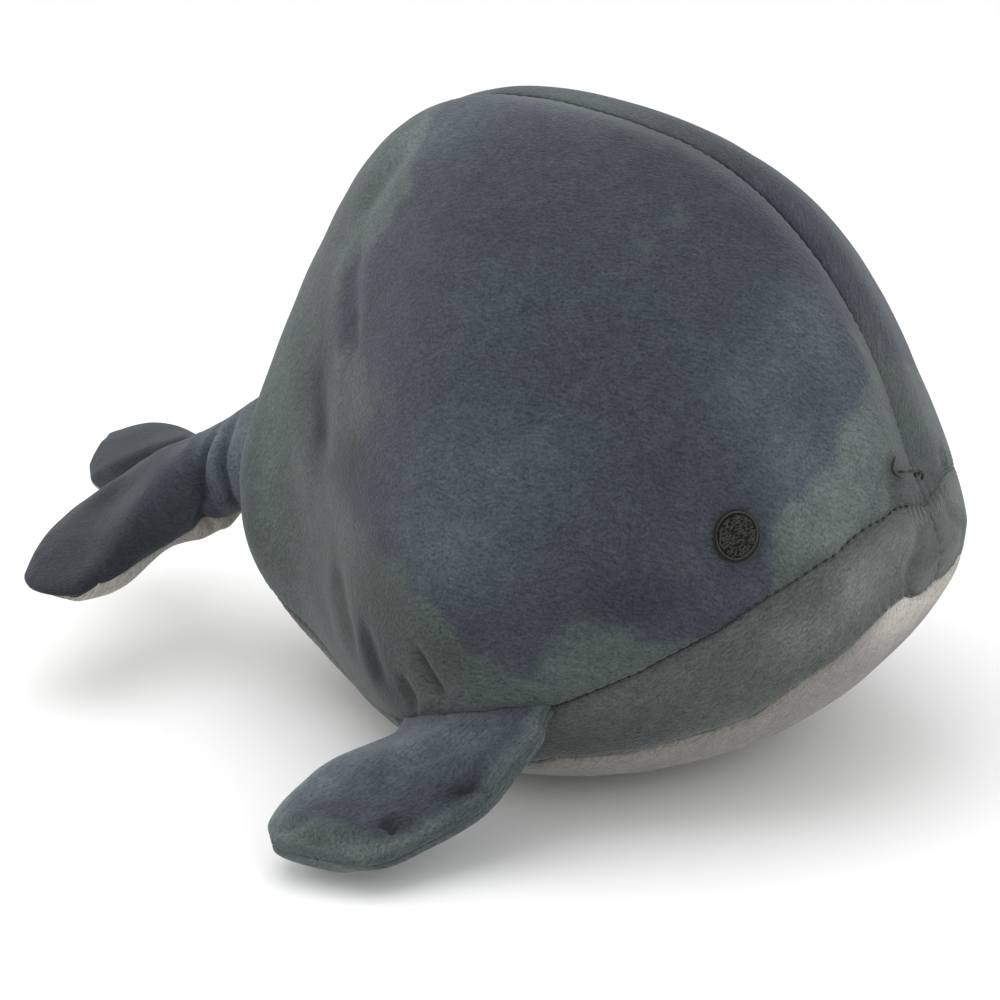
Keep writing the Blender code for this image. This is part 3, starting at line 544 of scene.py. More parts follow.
# Where the light catches the pile more or less, as (share, rise, half length, half rise, gain).
SIDE_TONES = (
    (0.62, 78, 0.06, 9, 0.78), (0.53, 85, 0.06, 7, 0.38), (0.42, 82, 0.05, 8, -0.09),
    (0.33, 78, 0.05, 9, -0.06), (0.25, 70, 0.04, 12, 0.76), (0.18, 60, 0.035, 15, 0.63),
    (0.66, 60, 0.03, 9, 0.31), (0.70, 45, 0.03, 10, -0.34), (0.69, 30, 0.016, 10, -0.66),
    (0.60, 60, 0.04, 9, 0.20), (0.44, 66, 0.05, 9, 0.07), (0.36, 62, 0.05, 9, 0.09),
    (0.50, 42, 0.05, 9, 0.15), (0.42, 45, 0.05, 10, -0.05), (0.27, 48, 0.04, 10, 0.65),
    (0.22, 36, 0.035, 11, 0.78), (0.16, 36, 0.03, 14, 0.59), (0.50, 22, 0.05, 8, 0.37),
    (0.42, 24, 0.05, 8, 0.23), (0.34, 24, 0.05, 9, -0.06), (0.62, 18, 0.05, 9, -0.55),
    (0.56, 2, 0.05, 8, -0.28), (0.65, -6, 0.05, 10, -0.34), (0.48, 8, 0.05, 6, 0.62),
    (0.40, 8, 0.05, 6, 0.06), (0.33, 2, 0.05, 6, -0.27), (0.26, 0, 0.03, 6, 0.12),
    (0.20, 18, 0.03, 7, 0.43), (0.15, 18, 0.03, 8, 0.64), (0.47, -8, 0.03, 5, -0.27),
    (0.39, -11, 0.03, 4, 0.10), (0.57, -16, 0.04, 8, -0.64), (0.80, 20, 0.035, 34, 0.42),
    (0.53, -22, 0.035, 7, -0.30), (0.67, -22, 0.04, 9, -0.36), (0.60, -22, 0.03, 6, -0.18),
    (0.55, -5, 0.04, 6, -0.20), (0.45, 15, 0.05, 6, 0.18), (0.125, 38, 0.02, 12, 0.28))
# The far side catches less of that light.
FAR_SIDE_LIGHT = 0.4


def catch_light(u, rise, spots):
    deg = np.degrees(rise)
    return 1 + sum(
        gain * bell(u, share, half_share) * bell(deg, at, half_deg)
        for share, at, half_share, half_deg, gain in spots)


for side, word in SIDES:
    seams = (
        (seam_line(crown_rise, MOUTH_SHARES[0], side), SEAM_DEPTH * 1.25, SEAM_WIDTH * 1.2),
        (seam_line(mouth_rise, MOUTH_SHARES[0], side), SEAM_DEPTH, SEAM_WIDTH))
    place, near, folded, u, rise = panel_cloth(
        MOUTH_SHARES[0] + 0.0005, mouth_rise, crown_rise, SIDE_COLUMNS, side, seams, SIDE_FOLDS,
        trim=(1, CROWN_TRIM[side]))
    # Painted light and shade on the side panels: the light spots, weaker on the far side, and the seam and fold
    # shade, then random mottle.
    light = catch_light(u, rise, SIDE_TONES)
    painted_light_and_mottle = seam_shade(near, place) * (light if side < 0 else 1 + FAR_SIDE_LIGHT * (light - 1))
    painted_light_and_mottle = painted_light_and_mottle * fold_shadow(folded)
    painted_light_and_mottle = painted_light_and_mottle * (1 + 0.07 * lumps(place, 0.024, 31 + side) + 0.05 * lumps(place, 0.009, 33 + side))
    nap = brushed(place, u, rise, 20 + side)
    made = cloth_piece("side_cloth_" + word, place, nap, painted_light_and_mottle, slate, flip=side > 0)
    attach(made, "torso")
    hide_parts("side_panel_" + word, *(["body_filling"] if side < 0 else []))
# Jaw panels
# Two strips of the same plush below the mouth seam, joined at the snout. Their pile is brushed up,
# so they look lighter and greener. Their lower edges are sewn to the pale belly.

BELLY_SHARES = (
    0.050, 0.054, 0.057, 0.0625, 0.084, 0.102, 0.129, 0.153, 0.20, 0.25, 0.31, 0.35, 0.404, 0.45, 0.54,
    0.62, 0.70, 1.0)
BELLY_DEG = (
    -86.0, -60.0, -38.0, -21.0, -19.5, -21.5, -25.0, -27.5, -30.5, -37.0, -34.5, -33.5, -30.0, -33.0,
    -42.0, -52.0, -56.0, -60.0)
JAW_COLUMNS = 70
JAW_FOLDS = (
    (((0.500, -22.0), (0.490, -26.0), (0.485, -31.0)), 0.0018, 0.0030, 0.0008, 0.006),
    (((0.074, 52.0), (0.066, 35.0), (0.055, 11.0), (0.056, -14.0)), 0.0008, 0.0030, 0.0004, 0.006),
    (((0.425, -19.0), (0.428, -24.0), (0.432, -29.0)), 0.0014, 0.0026, 0.0008, 0.005),
)
# Painted light and shade on the near jaw, as (share, rise, half length, half rise, gain).
JAW_TONES = (
    (0.09, 20, 0.03, 25, 0.66), (0.13, 0, 0.03, 14, 1.03), (0.19, -14, 0.04, 9, 0.62),
    (0.26, -24, 0.05, 7, 0.06), (0.33, -28, 0.05, 7, -0.26), (0.40, -28, 0.04, 7, -0.30),
    (0.0, 20, 0.040, 60, -0.34))
# The far jaw has painted light of its own.
FAR_JAW_TONES = ((0.0, 40, 0.040, 60, 0.15), (0.10, 10, 0.04, 40, 0.50))


def belly_rise(u):
    rise = np.radians(np.interp(u, BELLY_SHARES, BELLY_DEG))
    return np.where(u < BELLY_SHARES[0], -QUARTER_TURN, rise)


def jaw_top(u):
    return np.where(u < MOUTH_SHARES[0], QUARTER_TURN, mouth_rise(u))


JAW_BRUSHED = (0.0632, 0.0716, 0.0683)
jaw = plush("jaw plush", (0.0443, 0.0518, 0.0565), JAW_BRUSHED, SLATE_SHADE, 0.30, (0.82, 0.86, 0.86))
for side, word in SIDES:
    front = np.linspace(NOSE_START, MOUTH_SHARES[0], 80)
    under = np.linspace(NOSE_START, BELLY_SHARES[0], 40)
    snout = np.concatenate([
        body_form(front[::-1], crown_rise(front), side), body_form(under, -crown_rise(under), side)])
    seams = (
        (seam_line(mouth_rise, MOUTH_SHARES[0], side), SEAM_DEPTH, SEAM_WIDTH),
        (seam_line(belly_rise, BELLY_SHARES[0], side), SEAM_DEPTH * 0.8, SEAM_WIDTH),
        (snout, SEAM_DEPTH, SEAM_WIDTH))
    place, near, folded, u, rise = panel_cloth(
        NOSE_START, belly_rise, jaw_top, JAW_COLUMNS, side, seams, JAW_FOLDS)
    nap = np.clip(0.92 + 0.25 * lumps(place, 0.03, 41), 0, 1)
    painted_light_and_mottle = seam_shade(near, place) * catch_light(u, rise, JAW_TONES if side < 0 else FAR_JAW_TONES)
    made = cloth_piece("jaw_cloth_" + word, place, nap, painted_light_and_mottle * fold_shadow(folded), jaw, flip=side > 0)
    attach(made, "torso")
    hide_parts("jaw_panel_" + word)


# Belly panel
# One pale grey piece from under the chin to the tail root, sewn to both jaw panels.
# The toy's weight presses it flat where it rests on the floor.

BELLY_COLUMNS = 121
# Gain of the painted light towards the chin.
BELLY_CHIN_LIGHT = 1.40
pale = plush(
    "pale plush", (0.158, 0.151, 0.136), (0.186, 0.179, 0.163), (0.08, 0.077, 0.070), 0.25,
    (0.95, 0.93, 0.90))
halves = []
for side in (-1, 1):
    seams = ((seam_line(belly_rise, BELLY_SHARES[0], side), SEAM_DEPTH * 0.8, SEAM_WIDTH),)
    halves.append(panel_cloth(
        BELLY_SHARES[0] + 0.0005, lambda u: -crown_rise(u), belly_rise, BELLY_COLUMNS // 2 + 1,
        side, seams, (), trim=(0, 1)))
place, near, folded, u, rise = [
    np.concatenate([right[:, :0:-1], left], axis=1) for right, left in zip(*halves)]
nap = np.clip(0.5 + 0.5 * lumps(place, 0.03, 51), 0, 1)
# Painted shade along the seams, random mottle, and painted light that grows towards the chin.
painted_light_and_mottle = seam_shade(near, place) * (1 + 0.06 * lumps(place, 0.02, 52))
painted_light_and_mottle = painted_light_and_mottle * (1 + BELLY_CHIN_LIGHT * smooth_step(-u, -0.16, -0.06))
made = cloth_piece("belly_cloth", place, nap, painted_light_and_mottle, pale, flip=True)
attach(made, "torso")
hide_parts("belly_panel")


# Mouth stitches
# The mouth seam is closed from outside with black thread. Short stitches show as a dotted line
# sunk between the two puffed edges, and they stop where the pile covers them near the snout.

STITCH_PITCH = 0.0034
STITCH_LENGTH = 0.0021
STITCH_RADIUS = 0.00046
STITCH_SINK = 0.0007
STITCH_SIDES = 6
STITCH_ARCH = (0.0006, 0.0, -0.0002, -0.0002, 0.0, 0.0006)


def thread_material(name, colour, shine):
    """Twisted cotton thread: fine slanting bands along its length."""
    material, tree = new_material(name)
    place = socket(tree, "TexCoord", "Object")
    twist = socket(tree, "TexWave", "Fac", Vector=place, Scale=900.0, Distortion=3.0, Detail=1.0)
    fuzz = socket(tree, "TexNoise", "Fac", Vector=place, Scale=1500.0, Detail=2.0)
    light, dark = ((*(gain * c for c in colour), 1) for gain in (2.6, 0.45))
    tint = blended(tree, "MIX", fuzz, (*colour, 1), light)
    tint = blended(tree, "MIX", twist, tint, dark)
    rough = socket(tree, "MapRange", "Result", Value=fuzz, To_Min=0.55, To_Max=0.9)
    bump = socket(tree, "Bump", "Normal", Height=twist, Strength=0.5, Distance=0.0002)
    surface(
        tree, Base_Color=tint, Roughness=rough, Normal=bump, Specular_IOR_Level=shine,
        Sheen_Weight=0.2, Sheen_Roughness=0.5)
    return material


def threads_mesh(name, runs, radius, material, sides=STITCH_SIDES):
    """One mesh of many short rounded threads. Each run is an array of points along it."""
    points, faces = [], []
    turns = 2 * math.pi * np.arange(sides)[:, None] / sides
    for run in runs:
        run = np.asarray(run, float)
        tangent = unit(np.gradient(run, axis=0))
        first = unit(np.cross(tangent, (0.3, 0.5, 0.8)))
        second = np.cross(tangent, first)
        width = radius * np.sqrt(np.clip(1 - np.abs(np.linspace(-1, 1, len(run))) ** 6, 0.02, 1))
        ring = first[:, None] * np.cos(turns) + second[:, None] * np.sin(turns)
        ring = run[:, None] + width[:, None, None] * ring
        index = len(points) + np.arange(len(run) * sides)
        faces += index[grid_faces(len(run), sides, True)].tolist()
        faces += [index[:sides][::-1].tolist(), index[-sides:].tolist()]
        points += ring.reshape(-1, 3).tolist()
    return in_scene(name, new_mesh(name, points, faces, material))
black_thread = thread_material("black thread", (0.0075, 0.0080, 0.0080), 0.25)
random = np.random.default_rng(7)
for side, word in SIDES:
    shares = np.linspace(0.100 if side < 0 else 0.150, 0.475, 900)
    line = body_form(shares, mouth_rise(shares), side)
    facing = outward(shares, mouth_rise(shares), side)
    along = length_along(line)
    runs = []
    for at in np.arange(0.001, along[-1], STITCH_PITCH):
        at = at + random.uniform(-0.0004, 0.0004)
        reach = STITCH_LENGTH * random.uniform(0.7, 1.15)
        spots = np.clip(at + np.linspace(-0.5, 0.5, 6) * reach, 0, along[-1])
        sink = STITCH_SINK + np.array(STITCH_ARCH)[:, None]
        runs.append(points_at(line, along, spots) - points_at(facing, along, spots) * sink)
    made = threads_mesh("mouth_stitches_" + word, runs, STITCH_RADIUS, black_thread)
    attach(made, "torso")


# Embroidered eyes
# Each eye is a disc of close dark brown stitches on the side panel: rows of satin stitch
# laid in several directions in the middle, and a raised ring of slanting stitches round them.

EYE_HALF = (0.0075, 0.00825)
EYE_RISE_ABOVE = 0.0007
STITCHED_REACH = 0.74
# The stitches and the ring sit off the dark ground's centre, so the ground, the eye's own dark stitching, shows
# wider on one side of each as painted shade.
STITCHED_SHIFT = (0.06, 0.05)
STITCH_LEANS = (0.5, 1.7, -0.5)
EYE_RING_REACH = 0.836
EYE_RING_SHIFT = (0.090, 0.075)


def eye_point(side, x, y, lift):
    """Point over the side panel at this share of the eye's half sizes."""
    small = 1e-3
    middle = body_form(EYE_SHARE, EYE_RISE, side)
    per_share = np.linalg.norm(body_form(EYE_SHARE + small, EYE_RISE, side) - middle) / small
    per_turn = np.linalg.norm(body_form(EYE_SHARE, EYE_RISE + small, side) - middle) / small
    u, rise = EYE_SHARE + EYE_HALF[0] * x / per_share, EYE_RISE + EYE_HALF[1] * y / per_turn
    return body_form(u, rise, side) + outward(u, rise, side) * (EYE_RISE_ABOVE + lift)[..., None]
eye_thread = thread_material("eye thread", (0.0130, 0.0126, 0.0078), 0.45)
eye_edge = thread_material("eye edge thread", (0.026, 0.0245, 0.020), 0.30)
eye_ground = thread_material("eye ground", (0.0035, 0.0035, 0.0032), 0.10)
for side, word in SIDES:
    radii, turns = np.meshgrid(
        np.linspace(0, 1, 14), np.linspace(0, 2 * math.pi, 61)[:-1], indexing="ij")
    dome = np.where(radii > 0.97, -0.0012, 0.0004 * np.sqrt(1 - radii ** 2) - 0.0004 * radii ** 4)
    disc = eye_point(side, radii * np.cos(turns), radii * np.sin(turns), dome)
    faces = grid_faces(*disc.shape[:2], True)[:, [0, 3, 2, 1]]
    ground = in_scene("eye_ground_" + word, new_mesh(
        "eye_ground_" + word, disc.reshape(-1, 3).tolist(), faces.tolist(), eye_ground))
    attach(ground, "torso")
    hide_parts("eye_" + word)

    # Short threads cross in three layers, low and close, and leave the dark ground showing before the ring,
    # wider on one side as painted shade.
    runs = []
    for layer, lean in enumerate(STITCH_LEANS):
        for row in np.arange(-0.72, 0.73, 0.080):
            half = math.sqrt(max(STITCHED_REACH ** 2 - row ** 2, 0))
            start = -half + random.uniform(0, 0.05)
            while start < half - 0.06:
                end = min(start + random.uniform(0.14, 0.42), half)
                spots = np.linspace(start, end, 5)
                wobble = row + random.uniform(-0.05, 0.05) + 0.03 * np.sin(spots * 9 + row * 20)
                x = spots * math.cos(lean) - wobble * math.sin(lean) + STITCHED_SHIFT[0]
                y = spots * math.sin(lean) + wobble * math.cos(lean) + STITCHED_SHIFT[1]
                lift = 0.00012 + 0.00012 * layer + 0.00034 * np.sin(np.linspace(0.2, math.pi - 0.2, 5))
                lift = lift * random.uniform(0.3, 1.2)
                if random.uniform() < 0.85:
                    runs.append(eye_point(side, x, y, lift))
                start = end + random.uniform(0.02, 0.14)
    made = threads_mesh("eye_stitches_" + word, runs, 0.00020, eye_thread)
    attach(made, "torso")

    # A raised cord of lighter thread runs round the stitches, whipped down at close steps.
    turns = np.linspace(0, 2 * math.pi, 161)
    spots = EYE_RING_REACH + 0.010 * np.sin(turns * 3 + 0.7) + 0.006 * np.sin(turns * 22)
    cord = eye_point(
        side, spots * np.cos(turns) + EYE_RING_SHIFT[0], spots * np.sin(turns) + EYE_RING_SHIFT[1],
        0.00050 + 0.00010 * np.sin(turns * 31))
    made = threads_mesh("eye_ring_" + word, [cord], 0.00023, eye_edge, 10)
    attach(made, "torso")


# Loose thread
# The end of the black closing thread hangs out beside the centre seam above the mouth.
# It makes a small hook, then runs into a knot at the seam and ends in a short tail.

THREAD_PATHS = (
    ((0.1430, 67.0), (0.1435, 63.5), (0.1415, 60.0), (0.1370, 57.0), (0.1305, 57.5), (0.1255, 61.0),
     (0.1215, 68.0)),
    ((0.1330, 61.0), (0.1295, 64.0), (0.1270, 66.5), (0.1245, 70.5), (0.1215, 76.0), (0.1185, 82.0)),
    ((0.1215, 75.5), (0.1190, 80.5), (0.1160, 77.0), (0.1180, 73.0), (0.1215, 77.0), (0.1180, 82.0),
     (0.1130, 84.5), (0.1095, 82.0)))
runs = []
for path in THREAD_PATHS:
    u, rise = np.array(path).T
    at = np.linspace(0, 1, len(u))
    dense = np.linspace(0, 1, 8 * len(u))
    u, rise = (
        np.convolve(np.pad(np.interp(dense, at, c), 4, mode="edge"), np.ones(9) / 9, "valid")
        for c in (u, np.radians(rise)))
    lift = 0.0009 + 0.0007 * np.sin(dense * math.pi) + 0.0003 * np.sin(dense * 11)
    runs.append(body_form(u, rise, -1) + outward(u, rise, -1) * lift[:, None])
made = threads_mesh("nose_thread_end", runs, 0.00054, black_thread, 8)
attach(made, "torso")
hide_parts("nose_thread")


# Tail root
# The tail is sewn into the back of the body through a short cuff of the slate plush.
# The cuff is full and slack, so it stands in a soft ring fold between the body and the stem.

TAIL_ROOT = Vector((-TAIL_ROOT_BACK, 0, AXIS_HEIGHT - NOSE_DROP))
TAIL_YAW = math.radians(20.5)
TAIL_DROOP = math.radians(24)
STEM_SETBACK = 0.008
STEM_TURN = Matrix.Rotation(TAIL_YAW, 4, "Z") @ Matrix.Rotation(-TAIL_DROOP, 4, "Y")
STEM_ROOT = TAIL_ROOT + STEM_TURN @ Vector((-STEM_SETBACK, 0, 0))
CUFF_ALONG = (-0.016, -0.010, -0.004, 0.000, 0.0035, 0.0070, 0.0095, 0.0108, 0.0100, 0.0070)
CUFF_RADII = (0.0150, 0.0205, 0.0222, 0.0226, 0.0223, 0.0208, 0.0189, 0.0172, 0.0160, 0.0152)


def in_place(points, turn, origin):
    """Points of a piece's own frame, moved to where the piece sits."""
    return points @ np.array(turn)[:3, :3].T + np.array(origin)


def smooth_through(values, count):
    """Even, smooth run through a list of values."""
    at = np.linspace(0, len(values) - 1, count)
    padded = np.concatenate([[2 * values[0] - values[1]], values, [2 * values[-1] - values[-2]]])
    k = np.clip(at.astype(int), 0, len(values) - 2)
    t = at - k
    a, b, c, d = (padded[k + j] for j in range(4))
    return 0.5 * (2 * b + (c - a) * t + (2 * a - 5 * b + 4 * c - d) * t ** 2 + (3 * b - a - 3 * c + d) * t ** 3)


turns = np.linspace(0, 2 * math.pi, 97)
along = smooth_through(CUFF_ALONG, 56)[:, None] + 0 * turns
radius = smooth_through(CUFF_RADII, 56)[:, None] + 0 * turns
gather = np.sin(7 * turns + 1.0) * 0.35 + np.sin(11 * turns + 0.4) * 0.25
radius = radius + 0.0007 * gather * bell(along, 0.009, 0.005)
along = along + 0.0012 * np.sin(2 * turns + 0.8)
points = np.stack([-along, radius * np.cos(turns), radius * np.sin(turns)], -1)
place = in_place(points, STEM_TURN, TAIL_ROOT)
nap = np.full(along.shape, 0.15)
# Painted light lifts the whole cuff, with painted shade where it draws in towards the stem, and random mottle.
painted_light_and_mottle = 1.70 - 0.35 * smooth_step(-radius, -0.0195, -0.0165) * (along > 0) + 0.05 * lumps(place, 0.01, 61)
tail_root_cloth = cloth_piece("tail_root_cloth", place, nap, painted_light_and_mottle, slate, thickness=0.0012, flip=True)
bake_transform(tail_root_cloth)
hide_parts("tail_cuff", "tail_root_wad")


# Tail and flukes
# The tail is two pieces sewn round the edge, slate above and pale below, and stuffed. A round stem
# opens into two rounded flukes that curl up at the trailing edge. The near one hangs lower.

TAIL_LENGTH = 0.0855
TAIL_CURL = math.radians(23)
TAIL_ROLL = math.radians(8)
STEM_ROOT_RADIUS = 0.0182
FLUKE_HALF_SPAN = 0.0692
STEM_HALF_WIDTH = 0.0149
STEM_HALF_HEIGHT = 0.0155
FLUKE_HALF_HEIGHT = 0.0102
FLUKE_CORNER = 0.0150
WAIST_SHARE = 0.30
WIDE_SHARE = 0.77
CORNER_SHARE = 0.79
STEM_LIFT = 0.0032
STEM_TUCK = 0.004
PILLOW_POWER = 0.62
EDGE_HALF = 0.0010
EDGE_TUCK = 0.0010
WRAP_SHARES = (0.0, 0.24, 0.28, 0.32, 0.38, 0.50, 0.60, 0.66, 0.72, 0.79, 0.88)
WRAP_DEG = (87.0, 86.0, 72.0, 48.0, 36.0, 27.0, 9.0, 0.0, 2.0, 14.0, 20.0)
FAR_ROLL_SHARE = 0.72
NEAR_TIP_DROP = 0.0016
TAPER_REACH = (0.000, 0.004, 0.008, 0.012, 0.016, 0.028, 0.036)
TAPER_PUSH = (0.0050, 0.0040, 0.0026, 0.0012, 0.0005, 0.0004, 0.0000)

# Where the trailing edge draws in (+) or reaches out (-), as (place across, width, distance).
TRAILING_EDGE = (
    (0.0060, 0.0110, 0.0120), (-0.010, 0.014, 0.0024), (0.050, 0.015, -0.0030), (0.022, 0.011, 0.0022))

# The two creases round the stem: place along at these turns from the top, and depth and width.
CREASE_TURNS = (-110, -100, -80, -60, -30, 0, 60, 110)
CREASES = (
    ((0.0195, 0.0185, 0.0165, 0.0140, 0.0092, 0.0060, 0.0090, 0.0120), 0.0026, 0.0017),
    ((0.0310, 0.0290, 0.0250, 0.0225, 0.0175, 0.0140, 0.0180, 0.0240), 0.0028, 0.0018))
CREASE_ROLL = 0.0009
TAIL_ROWS = 200
TAIL_COLUMNS = 111


def tail_path(reach):
    """Middle line of the tail in the stem's own frame: place back, place up and slope."""
    steps = np.linspace(-STEM_ROOT_RADIUS, TAIL_LENGTH, 201)
    slope = TAIL_CURL * smooth_step(steps, STEM_ROOT_RADIUS, TAIL_LENGTH)
    step = steps[1] - steps[0]
    back = steps[0] + np.concatenate([[0], np.cumsum(np.cos(slope[1:]) * step)])
    up = np.concatenate([[0], np.cumsum(np.sin(slope[1:]) * step)])
    return [np.interp(reach, steps, v) for v in (back, up, slope)]
def tail_half_width(share):
    waist = STEM_ROOT_RADIUS + (STEM_HALF_WIDTH - STEM_ROOT_RADIUS) * smooth_step(share, 0, WAIST_SHARE)
    flare = smooth_step(share, WAIST_SHARE, WIDE_SHARE) ** 0.65
    past = np.clip((share - CORNER_SHARE) / (1 - CORNER_SHARE), 0, 1)
    return waist + (FLUKE_HALF_SPAN - waist) * flare - FLUKE_CORNER * (1 - np.sqrt(1 - past ** 2))


def tail_half_height(share):
    stem = STEM_ROOT_RADIUS + (STEM_HALF_HEIGHT - STEM_ROOT_RADIUS) * smooth_step(share, 0, WAIST_SHARE)
    full = stem + (FLUKE_HALF_HEIGHT - stem) * smooth_step(share, WAIST_SHARE, WIDE_SHARE)
    return full * np.sqrt(np.clip(1 - share ** 4, 0, 1))


def tail_cloth(way):
    """Grid of the upper (way 1) or lower (way -1) piece. On the stem the upper piece wraps far down."""
    spread = np.sin(np.linspace(0, QUARTER_TURN, TAIL_ROWS))
    reach = -STEM_TUCK + (TAIL_LENGTH + STEM_TUCK) * spread[:, None]
    share = np.clip(reach / TAIL_LENGTH, 0, 1)
    wrap = np.radians(np.interp(share, WRAP_SHARES, WRAP_DEG)) * way
    turn = np.linspace(-1, 1, TAIL_COLUMNS)[None, :] * (QUARTER_TURN + wrap)
    reach, share, turn = np.broadcast_arrays(reach, share, turn)

    # The cloth is full on top next to the body, and gathers in two soft creases round the sides.
    top = np.clip(way * np.cos(turn) + 0.35, 0, 1.35) / 1.35
    beside = np.clip(1.25 * np.abs(np.sin(turn)) ** 1.1 - 0.05, 0, 1)
    from_top = np.degrees(turn) if way > 0 else np.sign(turn) * (180 - np.degrees(np.abs(turn)))
    round_push = np.interp(reach, TAPER_REACH, TAPER_PUSH) * top
    gaps = [reach - np.interp(from_top, CREASE_TURNS, places) for places, _, _ in CREASES]
    for gap, (_, depth, width) in zip(gaps, CREASES):
        round_push = round_push - beside * depth * bell(gap, 0, width)
    round_push = round_push + CREASE_ROLL * beside * bell(sum(gaps), 0, 0.0052)
    near_fold = np.minimum(*np.abs(gaps)) + 0.003 * (1 - beside)

    # The outline seen from above. Both flukes widen, the far one more, and the edge has its notch.
    width, height = tail_half_width(share) + round_push, tail_half_height(share) + round_push
    across = width * np.sin(turn)
    far_width = 1 + 0.060 * smooth_step(share, 0.70, 0.86) - 0.010 * bell(share, 0.70, 0.06)
    across = across * np.where(turn < 0, 1 + 0.025 * smooth_step(share, 0.5, 0.8), far_width)
    notch = share ** 4 * sum(depth * bell(across, at, span) for at, span, depth in TRAILING_EDGE)
    back, up, slope = tail_path(reach - notch)

    # How full the stuffing is on this side of the middle surface.
    power = 1 + (PILLOW_POWER - 1) * smooth_step(share, 0, WAIST_SHARE)
    edge = EDGE_HALF * smooth_step(share, 0.62, 0.72)
    cosine = np.cos(turn)
    thin = 1 - 0.65 * smooth_step(share, 0.72, 0.92)
    thin = thin * (1 - 0.75 * smooth_step(-across, 0.030, 0.056) * smooth_step(share, 0.64, 0.82))
    thin = np.where(cosine * way < 0, thin, 1)
    half = edge + (np.maximum(height, edge) - edge) * np.sign(cosine) * np.abs(cosine) ** power * thin

    # The middle surface rolls, and the near fluke's tip hangs.
    roll = TAIL_ROLL * smooth_step(share, 0, WIDE_SHARE)
    roll = roll * (1 - (1 - FAR_ROLL_SHARE) * smooth_step(across, 0.0, 0.030))
    lift = STEM_LIFT * smooth_step(reach, 0.000, 0.018) * (1 - smooth_step(reach, 0.040, 0.070))
    lift = lift * bell(np.maximum(across, 0), 0, 0.022) - NEAR_TIP_DROP * smooth_step(-across, 0.040, 0.066)
    middle = np.stack([-back, across * np.cos(roll), up + lift + across * np.sin(roll)], -1)
    normal = np.stack([np.sin(slope), -np.cos(slope) * np.sin(roll), np.cos(slope) * np.cos(roll)], -1)
    flat = np.stack([reach, across, half * way], -1)
    to_edge = np.minimum(width * (QUARTER_TURN + wrap - np.abs(turn)) * 0.75, TAIL_LENGTH - reach)
    inner = 1 - bell(to_edge, 0, 0.0015)
    uneven = 0.0006 * lumps(flat, 0.006, 71 + way) * bell(to_edge, 0, 0.006)
    bulge = (uneven * smooth_step(share, 0.2, 0.4) + 0.0007 * lumps(flat, 0.018, 72 + way)) * inner
    if way > 0:
        # The near fluke stands over the far one, with a deep soft valley between them.
        valley = np.interp(reach, (0.030, 0.045, 0.060, 0.076), (0.018, 0.023, 0.023, 0.012))
        deep = smooth_step(reach, 0.026, 0.045)
        flank = smooth_step(reach, 0.030, 0.050) * (1 - smooth_step(reach, 0.066, 0.082))
        bulge = bulge - 0.66 * (half - edge) * bell(across, valley, 0.0058) * deep
        bulge = bulge - 0.0008 * bell(across, valley - 0.020, 0.014) * deep
        bulge = bulge + 0.0030 * bell(across, valley - 0.024, 0.014) * flank
    else:
        # The lower piece hangs full below the near fluke and behind the cuff.
        hang = 0.0036 * bell(reach, 0.052, 0.012) * bell(across, -0.046, 0.016)
        bulge = bulge + (hang + 0.0046 * bell(reach, 0.031, 0.0062)) * inner
    return middle, normal * way, half, edge, bulge, to_edge, flat, near_fold


def hemmed(middle, normal, half, edge, bulge, tuck_rows):
    """Outer surface of a pillow's half, with a last row and columns tucked into the seam."""
    place = middle + normal * (half + bulge)[..., None]
    centre = middle[:, middle.shape[1] // 2]
    sides = []
    for column in (0, -1):
        pull = unit(centre - place[:, column])
        sink = np.maximum(edge[:, column], HALF_GAP) - HALF_GAP
        sides.append(place[:, column] + pull * EDGE_TUCK - normal[:, column] * sink[:, None])
    place = np.concatenate([sides[0][:, None], place, sides[1][:, None]], axis=1)
    if tuck_rows:
        row = middle[-1] + unit(middle[-4] - middle[-1]) * EDGE_TUCK + normal[-1] * HALF_GAP
        place = np.concatenate([place, np.concatenate([row[:1], row, row[-1:]])[None]])
    return place


def edged(values, tuck_rows=True):
    """Grid values with their border repeated, to match a hemmed grid."""
    values = np.concatenate([values[:, :1], values, values[:, -1:]], axis=1)
    return np.concatenate([values, values[-1:]]) if tuck_rows else values


